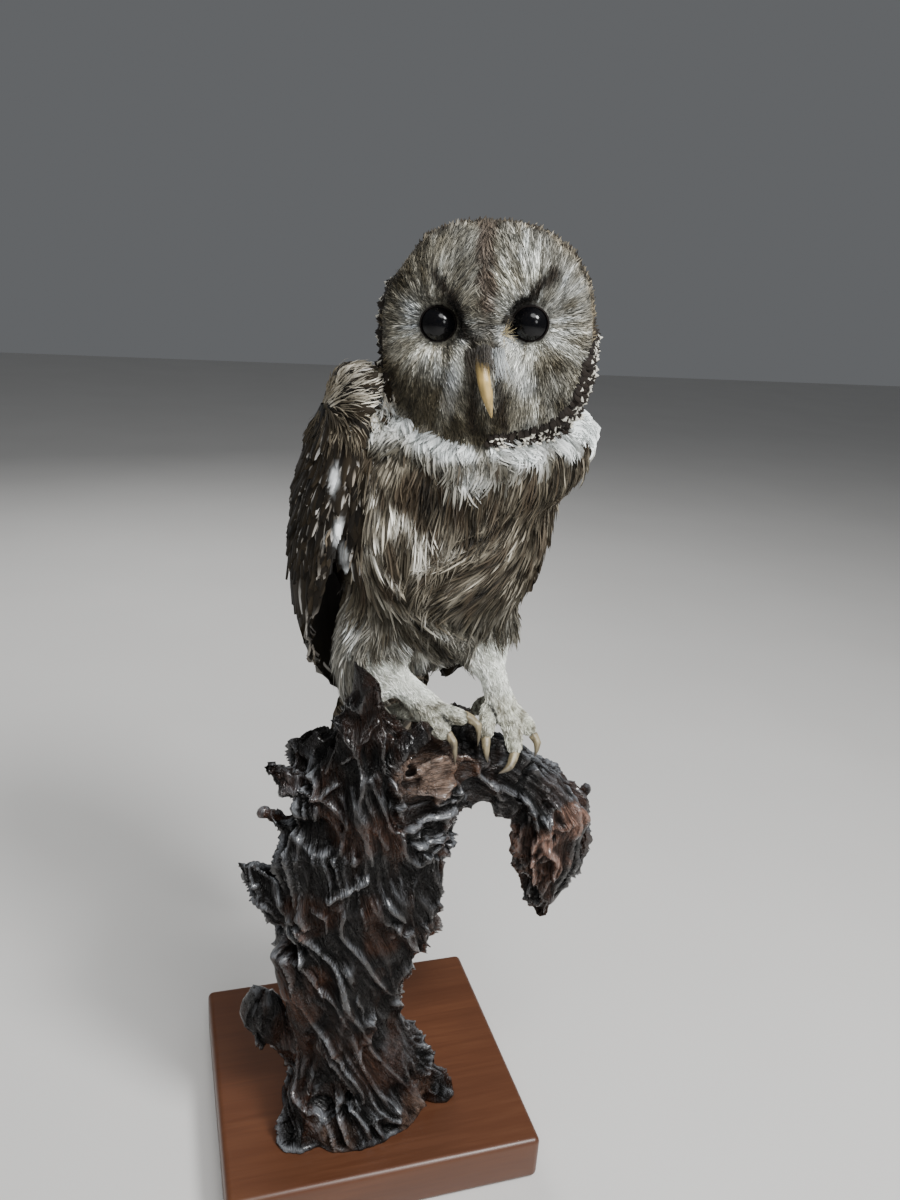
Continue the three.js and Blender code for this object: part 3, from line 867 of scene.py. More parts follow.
    def roots(self, spacing: float, rng: np.random.Generator, allowed: Test) -> Contact:
        """Draws evenly spread places.

        Args:
            spacing: about how far apart they are, in millimetres.
            rng: the random source.
            allowed: says which places count.

        Returns:
            The places.
        """
        corners = self.surface.points[self.triangles]
        area = np.linalg.norm(np.cross(corners[:, 1] - corners[:, 0], corners[:, 2] - corners[:, 0]), axis=1) / 2
        count = int(3.0 * area.sum() / (spacing * MM) ** 2)
        pick = rng.choice(len(area), count, p=area / area.sum())
        share = rng.dirichlet((1, 1, 1), count)[:, :, None]
        nodes = self.triangles[pick]
        places = Contact(
            np.sum(corners[pick] * share, 1),
            *self.between(nodes, share),
            self.part[nodes[:, 0]],
            np.sum(self.chart[nodes] * share, 1),
        )
        places = places.chosen(allowed(places))
        cells = np.floor(places.points / (spacing * MM)).astype(np.int64)
        _, first = np.unique(cells, axis=0, return_index=True)
        first.sort()
        return places.chosen(first)


# ---- feathers
@dataclass
class Template:
    """One feather's pattern on the flat: along and across are shares of its length and half width."""

    along: Array
    across: Array
    lift: Array
    chance: Array
    quads: Array
    triangles: Array


@dataclass(frozen=True)
class Lock:
    """A soft feather: narrow strips that fan out from one root."""

    strips: int = 9
    joints: int = 5
    root: float = 0.45
    strip: float = 0.24
    ragged: float = 0.22
    fluff: float = 0.25

    def template(self, rng: np.random.Generator) -> Template:
        """Draws one pattern.

        Args:
            rng: the random source.

        Returns:
            The pattern.
        """
        step = np.repeat(np.linspace(0, 1, self.joints + 1), 2)[:-1]
        side = np.array([-1.0, 1.0] * self.joints + [0.0])
        half = 0.5 * self.strip * (0.55 + 0.9 * step) * (1 - step**3) * side
        points = []
        for place in np.linspace(-1, 1, self.strips):
            start = rng.uniform(0.0, 0.12) + 0.1 * abs(place)
            end = 1 - self.ragged * rng.uniform(0, 1) - 0.22 * place * place
            bow, height, roll = rng.normal(0, 0.1), rng.normal(0, self.fluff), rng.normal(0, 0.5) * self.strip
            along = start + (end - start) * step
            fan = place * (self.root + (1 - self.root) * np.minimum(1, along * 1.5))
            points.append(rows(along, fan + bow * step * step + half, height * step + roll * side, rng.uniform(0, 1)))
        first = np.arange(self.strips)[:, None] * len(step) + 2 * np.arange(self.joints)
        quads = first[:, :-1].reshape(-1, 1) + (0, 1, 3, 2)
        return Template(*np.concatenate(points).T, quads, first[:, -1:] + (0, 1, 2))


@dataclass(frozen=True)
class Vane:
    """A firm feather: a cambered blade with a shaft, its edges a little ragged."""

    rows: int = 9
    cells: int = 4
    tip: float = 0.28
    camber: float = 0.25
    ragged: float = 0.06

    def template(self, rng: np.random.Generator) -> Template:
        """Draws one pattern.

        Args:
            rng: the random source.

        Returns:
            The pattern.
        """
        steps = np.linspace(0, 1, self.rows + 1)
        sides = np.linspace(-1, 1, self.cells + 1)
        width = smooth(0, 0.18, steps) * 0.55 + 0.45
        width *= np.sqrt(np.clip(1 - ((np.clip(steps, 1 - self.tip, 1) - 1 + self.tip) / self.tip) ** 2, 0.02, 1))
        s, t = np.meshgrid(steps, sides, indexing="ij")
        along = s + rng.normal(0, self.ragged * 0.3, s.shape) * (s > 0.4) * (abs(t) > 0.9)
        across = t * width[:, None] * (1 + rng.normal(0, self.ragged, s.shape) * (abs(t) > 0.9))
        lift = -self.camber * t * t + 0.06 * (t == 0)
        chance = np.full(s.size, rng.uniform(0, 1))
        number = np.arange(s.size).reshape(s.shape)
        quads = rows(number[:-1, :-1], number[:-1, 1:], number[1:, 1:], number[1:, :-1]).reshape(-1, 4)
        flat = (along.ravel(), across.ravel(), lift.ravel(), chance)
        return Template(*flat, quads, NO_TRIANGLES)


@dataclass
class Bed:
    """A stretch of coat: where its feathers root, their size and how they are carried.

    spacing, length, width, rise, off and curl are millimetres; rise is how far the tip stands off, off the root.
    fine asks for colours at every point of the feather, not only along its middle.
    """

    allowed: Test
    spacing: float
    length: float
    width: float
    pattern: Lock | Vane = field(default_factory=Lock)
    rise: float = 3.0
    off: float = 0.0
    curl: float = 0.0
    cling: float = 0.85
    wander: float = 0.15
    bend: float = 0.0
    vary: float = 0.2
    joints: int = 5
    variants: int = 9
    size: Callable[[Contact], Array] | None = None
    fine: bool = False


@dataclass
class Coat:
    """A coat piece being gathered: joined feathers with their colours and bake map."""

    name: str
    skin: Skin
    painter: Painter
    seed: int = 1

    def __post_init__(self) -> None:
        """Starts empty lists."""
        self.rng = np.random.default_rng(self.seed)
        self.swirl = Noise(self.seed * 10)
        self.chunks: list[list[Array]] = []
        self.count = 0

    def grow(self, bed: Bed) -> None:
        """Roots a bed's feathers over the skin."""
        spacing = bed.spacing * 1.0
        self.plant(bed, self.skin.roots(spacing, self.rng, bed.allowed))

    def plant(self, bed: Bed, roots: Contact) -> None:
        """Adds one feather at each root.

        Args:
            bed: the kind of feather.
            roots: where they root.
        """
        count = len(roots.points)
        if not count:
            return
        rng = self.rng
        grown = np.ones(count) if bed.size is None else bed.size(roots)
        length = bed.length * MM * grown * np.clip(rng.normal(1, bed.vary, count), 0.5, 1.6)
        angle = rng.normal(0, bed.wander, count) + bed.wander * 1.5 * self.swirl(roots.points, 0.03)
        spine, sides, ups = self.lay(bed, roots, angle, length)
        head = Part.HEAD.number
        kept = (roots.part == head) | (self.skin.touch(spine[:, -1]).part != head)
        spine, sides, ups, grown, count = spine[kept], sides[kept], ups[kept], grown[kept], int(kept.sum())
        roots = roots.chosen(kept)
        tone = rng.uniform(0, 1, count)
        flat = spine.reshape(-1, 3)
        colours = self.painter(flat, np.repeat(tone, spine.shape[1]))
        ground, mark = (colour.reshape(count, -1, 4) for colour in colours)
        kind = rng.integers(0, bed.variants, count)
        for number in range(bed.variants):
            mine = np.flatnonzero(kind == number)
            if not len(mine):
                continue
            form = bed.pattern.template(rng)
            place = form.along * bed.joints
            low = np.clip(place.astype(int), 0, bed.joints - 1)
            share = np.clip(place - low, 0, None)[None, :, None]
            middle, across, up, base, sign = (
                values[mine][:, low] * (1 - share) + values[mine][:, low + 1] * share
                for values in (spine, sides, ups, ground, mark)
            )
            half = bed.width * MM / 2 * np.sqrt(grown[mine])[:, None, None]
            points = middle + across * form.across[None, :, None] * half + up * form.lift[None, :, None] * half
            if bed.fine:
                base, sign = self.painter(points.reshape(-1, 3), np.repeat(tone[mine], len(form.along)))
            vane = rows(form.along, form.across, (form.chance + tone[mine, None]) / 2)
            start = self.count + np.arange(len(mine))[:, None, None] * len(form.along)
            base, sign = (np.clip(colour, 0, 1).reshape(-1, 4) for colour in (base, sign))
            chart = np.repeat(roots.chart[mine], len(form.along), 0)
            patch = np.tile(rows(form.across * 0.5, form.along - 0.5) * PATCH, (len(mine), 1))
            chunk = (points, form.quads + start, form.triangles + start, vane, base, sign, chart, patch)
            self.chunks.append([values.reshape(-1, values.shape[-1]) for values in chunk])
            self.count += len(mine) * len(form.along)

    def lay(self, bed: Bed, roots: Contact, angle: Array, length: Array) -> tuple[Array, Array, Array]:
        """Runs each feather's spine over the skin.

        Args:
            bed: the kind of feather.
            roots: where they root.
            angle: how far each turns off the coat's lie, in radians.
            length: how long each is, in metres.

        Returns:
            The spine's places, the direction across it and the direction off the skin, each (n, joints + 1, 3).
        """
        side = np.cross(roots.normals, roots.lie)
        way = roots.lie * np.cos(angle)[:, None] + side * np.sin(angle)[:, None]
        bend = self.rng.normal(0, bed.bend, len(angle))[:, None] if bed.bend else 0.0
        step = (length / bed.joints)[:, None]
        here, normal = roots.points.copy(), roots.normals.copy()
        spine, ups = [here], [normal]
        for _ in range(bed.joints):
            ahead = here + way * step
            contact = self.skin.touch(ahead)
            drop = contact.points - ahead
            falling = np.sum(drop * normal, 1, keepdims=True) < 0
            here = ahead + drop * np.where(falling, bed.cling, 1.0)
            normal = unit(normal * 0.35 + contact.normals * 0.65)
            way = unit(way * 0.75 + contact.lie * 0.25 + np.cross(normal, way) * bend)
            way = unit(way - normal * np.sum(way * normal, 1, keepdims=True))
            spine.append(here)
            ups.append(normal)
        spine, ups = np.stack(spine, 1), np.stack(ups, 1)
        share = np.linspace(0, 1, bed.joints + 1)[None, :, None]
        stand = self.rng.normal(1, 0.3, len(here))[:, None, None]
        spine = spine + ups * (bed.off + bed.rise * stand * share**1.3 - bed.curl * share**4) * MM
        tangent = unit(np.gradient(spine, axis=1))
        sides = unit(np.cross(tangent, ups))
        return spine, sides, unit(np.cross(sides, tangent))

    def finish(self, plumage: Plumage, slot: str) -> None:
        """Makes the piece.

        Args:
            plumage: its finish.
            slot: which finish of the object that is.
        """
        *mesh, vane, ground, mark, chart, patch = (np.concatenate(column) for column in zip(*self.chunks))
        made = mesh_object(self.name, *mesh)
        give(made, "vane", vane)
        give(made, "ground", ground)
        give(made, "mark", mark)
        low, high = chart.min(0), chart.max(0)
        chart = 0.01 + 0.98 * (chart - low) / np.maximum(high - low, 1e-6) + patch
        mapped(made, chart)
        finished(made, plumage.material(), slot)


# ---- the owl's colours
WHITE: Colour = (0.80, 0.83, 0.84)
BUFF: Colour = (0.30, 0.235, 0.155)
BROWN: Colour = (0.058, 0.042, 0.026)
DARK: Colour = (0.016, 0.011, 0.007)
GREY_TONES = ((0.012, 0.0095, 0.006), (0.075, 0.066, 0.046), (0.27, 0.262, 0.228), (0.80, 0.83, 0.82))
BROWN_TONES = ((0.012, 0.0095, 0.006), (0.064, 0.052, 0.034), (0.26, 0.226, 0.166), (0.73, 0.69, 0.59))


def toned(light: Array, tones: tuple[Colour, ...]) -> Array:
    """Turns a lightness from 0 to 1 into a colour of a scale, with alpha 1."""
    steps = np.linspace(0, 1, len(tones))
    return rows(*(np.interp(light, steps, [tone[k] for tone in tones]) for k in range(3)), 1.0)


def tinted(count: int, colour: Colour, alpha: float | Array = 1.0) -> Array:
    """Returns one colour for every row."""
    made = np.tile([*colour, 1.0], (count, 1))
    made[:, 3] = alpha
    return made


def away(path: Sequence[Sequence[float]], places: Array) -> Array:
    """Returns how far places lie from a path of straight pieces, in two or three dimensions.

    Args:
        path: its corners.
        places: the places, with as many numbers each.

    Returns:
        The distances.
    """
    near = np.full(len(places), 1e9)
    for start, end in zip(path, path[1:]):
        a, b = np.array(start, float), np.array(end, float)
        share = np.clip((places - a) @ (b - a) / ((b - a) @ (b - a)), 0, 1)
        near = np.minimum(near, np.linalg.norm(places - a - share[:, None] * (b - a), axis=1))
    return near


class Paint:
    """A colour laid on row by row."""

    def __init__(self, ground: Array) -> None:
        """Starts with a ground."""
        self.ground = ground

    def over(self, colour: Colour | Array, share: Array) -> None:
        """Lays a colour over what is there."""
        full = colour if isinstance(colour, np.ndarray) else tinted(len(self.ground), colour)
        self.ground = blend(self.ground, full, np.clip(share, 0, 1))


@dataclass
class Markings:
    """The owl's pattern: the ground colour at each place, and the colour and strength of each feather's marking.

    Paths and spots on the head are (x, z) in its own frame, those on the body (x, y, z) in the bird's. A marking's
    alpha is its strength.
    """

    seed: int = 5
    crown: tuple = ((0, 74), (0, 60), (1.8, 41), (2.7, 27), (3, 21))
    creases: tuple = (((-29, 38), (-22, 30), (-14, 18), (-11, 5)), ((40, 38), (27, 26), (18.5, 17), (15.5, 7)))
    moustache: tuple = (((-12.5, 0), (-16, -19), (-21, -38)), ((13.5, 4), (18.5, -11), (25, -27)))
    beside_bill: tuple = (((-5.5, 4), (-5.5, -15), (-6, -37), (-8, -52)), ((7, -2), (9, -20), (11, -33), (13, -50)))
    bright: tuple = (
        *((-44, 5, 11), (-43, 21, 7), (-34, -7, 8), (43, 1, 10), (30, -6, 7)),
        *((22, 44, 14), (13, 26, 9), (24, -30, 1), (-24, 44, 9)),
    )
    dim: tuple = (
        *((-50, -30, 13), (-38, -42, 12), (-61, -16, 8), (0, -56, 13), (-14, -50, 10), (40, -15, 8), (-56, 36, 9)),
        *((44, -38, 6), (50, 20, 5), (-21, -33, 9), (-31, -27, 6), (8, -43, 7), (14, -33, 4), (-58, -28, 9)),
    )
    breast: tuple = (
        ((-15, -75, 534), 12, 10, 0.45),
        ((-44, -62, 530), 22, 13, -0.4),
        ((-26, -70, 524), 12, 11, -0.34),
        ((15, -78, 530), 26, 10, -0.22),
        ((45, -60, 520), 14, 18, -0.10),
        ((-6, -70, 496), 20, 14, -0.12),
        ((-64, -45, 500), 13, 26, 0.15),
    )
    toe_gaps: tuple = (((24, 376), (26, 366), (25, 356)), ((-14, 375), (-9, 369), (-4, 366)))
    wing_whites: tuple = (
        ((-85, -23, 533), 2.8, 9.0),
        ((-83, -25, 502), 3.4, 9.0),
        ((-76, -18, 484), 2.8, 7.0),
        ((-73, -19, 473), 2.4, 7.0),
    )

    def __post_init__(self) -> None:
        """Starts the noises."""
        self.clouds = [Noise(self.seed + k) for k in range(6)]

    def head(self, points: Array, chance: Array) -> Colours:
        """Colours the face, crown and nape.

        Args:
            points: places on the feathers, in metres.
            chance: a number from 0 to 1 for each.

        Returns:
            The ground's colours and the marking's.
        """
        at = HEAD.local(points)
        x, y, z = at.T
        flat = at[:, [0, 2]]
        behind = smooth(-30, -8, y)
        eye_x = np.where(x < 1.5, -EYE_PLACE[0], EYE_PLACE[0])
        ray = flat - rows(eye_x, EYE_PLACE[2])
        eye = np.hypot(*ray.T)
        round_eye = ray / np.maximum(eye, 1e-6)[:, None]
        broad = self.clouds[0](rows(*(round_eye * 13).T, eye / 17), 1.0)
        fine = self.clouds[1](rows(*(round_eye * 31).T, eye / 9), 1.0)
        # The first terms are painted light: the bird's left half of the face, towards the key light, is lighter and the
        # upper part of its right half darker.
        light = 0.572 + 0.07 * smooth(-8, 14, x) - 0.07 * smooth(6, 40, z) * smooth(6, -10, x)
        for spots, gain in ((self.bright, 0.20), (self.dim, -0.31)):
            for cx, cz, reach in spots:
                light += gain * np.exp(-(((x - cx) ** 2 + (z - cz) ** 2) / reach**2))
        light += 0.22 * broad + 0.12 * fine
        paint = Paint(toned(light, GREY_TONES))
        far, near = (away(path, flat) + 2.5 * fine for path in self.moustache)
        stripes = np.maximum(smooth(6.0, 1.2, far), smooth(8.5, 1.7, near))
        paint.over(WHITE, 0.64 * stripes * (0.3 + 0.7 * smooth(-36, -14, z)))
        for path in self.beside_bill:
            paint.over(DARK, 0.85 * smooth(4.6, 1.0, away(path, flat) + 1.6 * fine))
        # Painted shade: near-black lines in the creases on the inner side of each eye.
        for path in self.creases:
            paint.over(DARK, 0.95 * smooth(5.0, 1.6, away(path, flat) + 1.6 * broad))
        paint.over((0.055, 0.046, 0.036), 0.62 * smooth(7, 3, np.abs(x - 2)) * smooth(24, 14, z) * smooth(-4, 4, z))
        parting = smooth(6.2, 3.2, away(self.crown, flat) + 2.5 * broad) * smooth(-5, -20, y)
        paint.over((0.080, 0.060, 0.048), 0.85 * parting)
        top = 0.30 + 0.35 * self.clouds[2](points, 0.007) + 0.3 * (chance - 0.5)
        paint.over(toned(top, BROWN_TONES), behind)
        warm = 0.5 * self.clouds[4](points, 0.014) + 0.25 * smooth(20, 50, x) * smooth(0, -30, z)
        hue = blend(np.array((0.96, 1.0, 1.06)), np.array((1.06, 1.0, 0.86)), warm + 0.4)
        paint.ground[:, :3] *= (0.62 + 0.76 * chance)[:, None] * hue
        return paint.ground, tinted(len(at), DARK, behind * 0.9)

    def rim(self, points: Array, chance: Array) -> Colours:
        """Colours the rim of the face."""
        bead = tinted(len(points), (0.62, 0.60, 0.52), np.where(chance < 0.5, 0.95, 0.0))
        return tinted(len(points), (0.012, 0.0085, 0.006)), bead

    def collar(self, points: Array, chance: Array) -> Colours:
        """Colours the white ruffle under the face.

        Args:
            points: places on the feathers, in metres.
            chance: a number from 0 to 1 for each.

        Returns:
            The ground's colours and the marking's.
        """
        at = BIRD.local(points)
        x, y, z = at.T
        light = 1.05 + 0.26 * self.clouds[0](points, 0.011) + 0.2 * (chance - 0.5)
        middle = np.exp(-(((x + 12) / 15) ** 2))
        hem = smooth(560, 547, z + 5 * self.clouds[1](points, 0.015))
        light -= 0.5 * hem * (1 - 0.22 * middle) + 0.25 * smooth(-40, -60, x)
        light -= 0.5 * smooth(5, 3, np.abs(x + 6 - 0.1 * (z - 560))) * smooth(545, 560, z)
        light -= 0.6 * smooth(0, 40, y)
        ground = toned(light, GREY_TONES)
        strength = (chance < 0.25) * (0.2 + 0.6 * smooth(560, 545, z)) + smooth(0, 30, y)
        return ground, tinted(len(at), BROWN, np.clip(strength, 0, 1))

    def body(self, points: Array, chance: Array) -> Colours:
        """Colours the breast, belly, flanks and back.

        Args:
            points: places on the feathers, in metres.
            chance: a number from 0 to 1 for each.

        Returns:
            The ground's colours and the marking's.
        """
        at = BIRD.local(points)
        x, y, z = at.T
        light = 0.415 + 0.26 * (chance - 0.5) + 0.26 * self.clouds[1](points, (0.007, 0.007, 0.03))
        # Painted light: the lowest feathers are paler, standing in for light from below.
        light += 0.22 * smooth(428, 402, z)
        for (cx, cy, cz), wide, tall, gain in self.breast:
            light += gain * np.exp(-(((x - cx) ** 2 + (y - cy) ** 2) / wide**2) - ((z - cz) / tall) ** 2)
        # Sweeps with a negative gain paint shade: dark lines in the creases between locks.
        for sweep in SWEEPS:
            light += sweep.gain * sweep.share(at, sweep.width) * (0.4 + 0.95 * chance)
        cool = 0.25 + smooth(470, 435, z) * 0.55
        paint = Paint(blend(toned(light, BROWN_TONES), toned(light, GREY_TONES), cool))
        streaks = self.clouds[2](at, (8.0, 9.0, 38.0)) + 0.4 * self.clouds[3](at, (4.0, 5.0, 20.0))
        paint.over(BROWN, 0.8 * smooth(0.16, 0.36, streaks) * smooth(435, 460, z) * smooth(0.85, 0.6, light))
        back = 0.22 + 0.3 * (chance - 0.5) + 0.2 * self.clouds[3](points, 0.01)
        paint.over(toned(back, BROWN_TONES), smooth(-5, 35, y) * smooth(395, 420, z))
        strength = np.where(chance < 0.45, 0.8, 0.1) * (1 - 0.6 * cool) * smooth(0.9, 0.6, light)
        return paint.ground, tinted(len(at), BROWN, strength)

    def thigh(self, points: Array, chance: Array) -> Colours:
        """Colours the long soft feathers of the thighs."""
        at = BIRD.local(points)
        light = 0.56 + 0.3 * (chance - 0.5) + 0.24 * self.clouds[4](points, (0.012, 0.012, 0.03))
        light -= 0.14 * smooth(0, 30, at[:, 0])
        return toned(light, GREY_TONES), tinted(len(at), BROWN, 0.35 * (chance < 0.4))

    def shoulder(self, points: Array, chance: Array) -> Colours:
        """Colours the pale ruffled feathers on the shoulders."""
        x, y, z = BIRD.local(points).T
        light = 0.72 + 0.16 * (chance - 0.5) + 0.2 * self.clouds[4](points, 0.01) - 0.45 * smooth(15, 45, y)
        # The last term is painted shade: the outer shoulder is darker low down, in the shadow between the ruffle and
        # the wing.
        light += 0.2 * smooth(-75, -62, x) * smooth(20, -10, y) - 0.4 * smooth(580, 566, z) * smooth(-60, -72, x)
        return toned(light, BROWN_TONES), tinted(len(points), BROWN, 0.3 * (chance < 0.3))

    def wing(self, points: Array, chance: Array) -> Colours:
        """Colours the wing and tail feathers.

        Args:
            points: places on the feathers, in metres.
            chance: a number from 0 to 1 for each.

        Returns:
            The ground's colours and the marking's.
        """
        at = BIRD.local(points)
        light = 0.06 + 0.16 * (chance - 0.5) + 0.06 * self.clouds[0](points, 0.02)
        paint = Paint(toned(light, BROWN_TONES) * (0.62, 0.54, 0.42, 1.0))
        for place, across, down in self.wing_whites:
            near = (at - place) / (across, across * 1.6, down)
            paint.over(WHITE, 1.4 * np.exp(-np.sum(near**2, 1) ** 2))
        mark = blend(tinted(len(at), BUFF), tinted(len(at), WHITE), 0.75 * chance)
        mark[:, 3] = np.where(chance < 0.72, 0.85, 0.0) * smooth(-0.12, 0.1, self.clouds[1](at, (7.0, 7.0, 11.0)))
        return paint.ground, mark

    def tail(self, points: Array, chance: Array) -> Colours:
        """Colours the tail: brown with paler bars."""
        light = 0.2 + 0.12 * (chance - 0.5) + 0.1 * self.clouds[0](points, 0.02)
        return toned(light, BROWN_TONES), tinted(len(points), (0.26, 0.215, 0.155), 0.8)

    def leg(self, points: Array, chance: Array) -> Colours:
        """Colours the felted legs and toes.

        Args:
            points: places on the feathers, in metres.
            chance: a number from 0 to 1 for each.

        Returns:
            The ground's colours and the marking's.
        """
        at = BIRD.local(points)
        low = smooth(386, 374, at[:, 2])
        light = 1.0 + 0.2 * (chance - 0.5) + 0.12 * self.clouds[5](points, 0.006)
        light += low * (0.3 * self.clouds[4](at, (5.0, 5.0, 3.0)) - 0.12)
        ground = toned(light, GREY_TONES)
        ground[:, :3] *= blend(np.array((1.18, 1.16, 1.10)), np.array((0.98, 0.95, 0.84)), low)
        # Painted shade: dark lines in the gaps between the toes.
        for path in self.toe_gaps:
            ground[:, :3] *= (1 - 0.9 * smooth(2.4, 0.8, away(path, at[:, [0, 2]])))[:, None]
        return ground, tinted(len(points), BROWN, 0.0)


def on(*parts: Part, x: Span = EVERY, y: Span = EVERY, z: Span = EVERY) -> Test:
    """Makes a test for places on the skin.

    Args:
        parts: the parts of the bird that count.
        x: from where to where across, in the bird's frame, in millimetres.
        y: the same from front to back.
        z: the same in height.

    Returns:
        The test.
    """
    numbers = [part.number for part in parts]
    low, high = zip(x, y, z)

    def test(places: Contact) -> Array:
        """Says which places pass."""
        at = places.bird
        return np.isin(places.part, numbers) & np.all((at > low) & (at < high), 1)

    return test


def disc_edge(points: Array) -> Array:
    """Returns how far out on the facial disc places lie: under 1 inside it, over 1 beyond its rim."""
    at = HEAD.local(points)
    ring = (np.abs(at[:, 0]) / 63) ** 2.8 + (np.abs(at[:, 2] + 2) / np.where(at[:, 2] > -2, 62, 56)) ** 2.8
    return np.where(at[:, 1] < 10, ring, 9.0)


def eye_gap(points: Array) -> Array:
    """Returns how far places are from the nearer eye's middle, seen from in front, in millimetres."""
    at = HEAD.local(points)
    return np.hypot(np.abs(at[:, 0]) - EYE_PLACE[0], at[:, 2] - EYE_PLACE[2])


@dataclass(frozen=True)
class Row:
    """A row of wing feathers from the front edge round to the back: angles from the breast, heights and sizes."""

    count: int
    angles: tuple[float, float]
    roots: tuple[float, float]
    tips: tuple[float, float] | None
    width: float
    off: float
    rise: float = 1.0


@dataclass
class Wing:
    """One wing's rows of feathers."""

    side: int
    reach: float
    hem: tuple[tuple[float, ...], tuple[float, ...]]
    rows: tuple[Row, ...] = (
        Row(24, (68, 152), (462, 474), None, 11.5, 0.2, 0.8),
        Row(22, (66, 155), (486, 494), (436, 430), 12.0, 0.8, 1.2),
        Row(22, (64, 158), (508, 516), (466, 458), 11.0, 1.2, 1.5),
    )

    def place(self, angle: Array, height: Array) -> Array:
        """Returns places near the wing's skin, as stand points."""
        turned = np.radians(angle)
        across, ahead = self.side * self.reach * np.sin(turned), 5 - 0.86 * self.reach * np.cos(turned)
        return BIRD.world(rows(across, ahead, height))

    def plant(self, coat: Coat) -> None:
        """Roots every row, the lowest first.

        Args:
            coat: the piece that they belong to.
        """
        rng = coat.rng
        for row in self.rows:
            share = np.linspace(0, 1, row.count) + rng.normal(0, 0.12, row.count) / row.count
            angle = row.angles[0] + (row.angles[1] - row.angles[0]) * share
            root = row.roots[0] + (row.roots[1] - row.roots[0]) * share + rng.normal(0, 2.0, row.count)
            hem = np.interp(angle + 10, *self.hem) - 4
            tip = hem if row.tips is None else np.maximum(row.tips[0] + (row.tips[1] - row.tips[0]) * share, hem)
            length = np.maximum(root - tip, 16) * 1.06
            roots = coat.skin.touch(self.place(angle, root))
            vane = Vane(rows=12 if row.tips is None else 8, cells=4, tip=0.16 if row.tips is None else 0.35)
            carried = {"rise": row.rise, "off": row.off, "cling": 0.93, "wander": 0.05, "vary": 0.05}
            for some in np.array_split(np.argsort(length), 4):
                bed = Bed(on(), 1.0, float(length[some].mean()), row.width, vane, joints=7, variants=5, **carried)
                coat.plant(bed, roots.chosen(some))


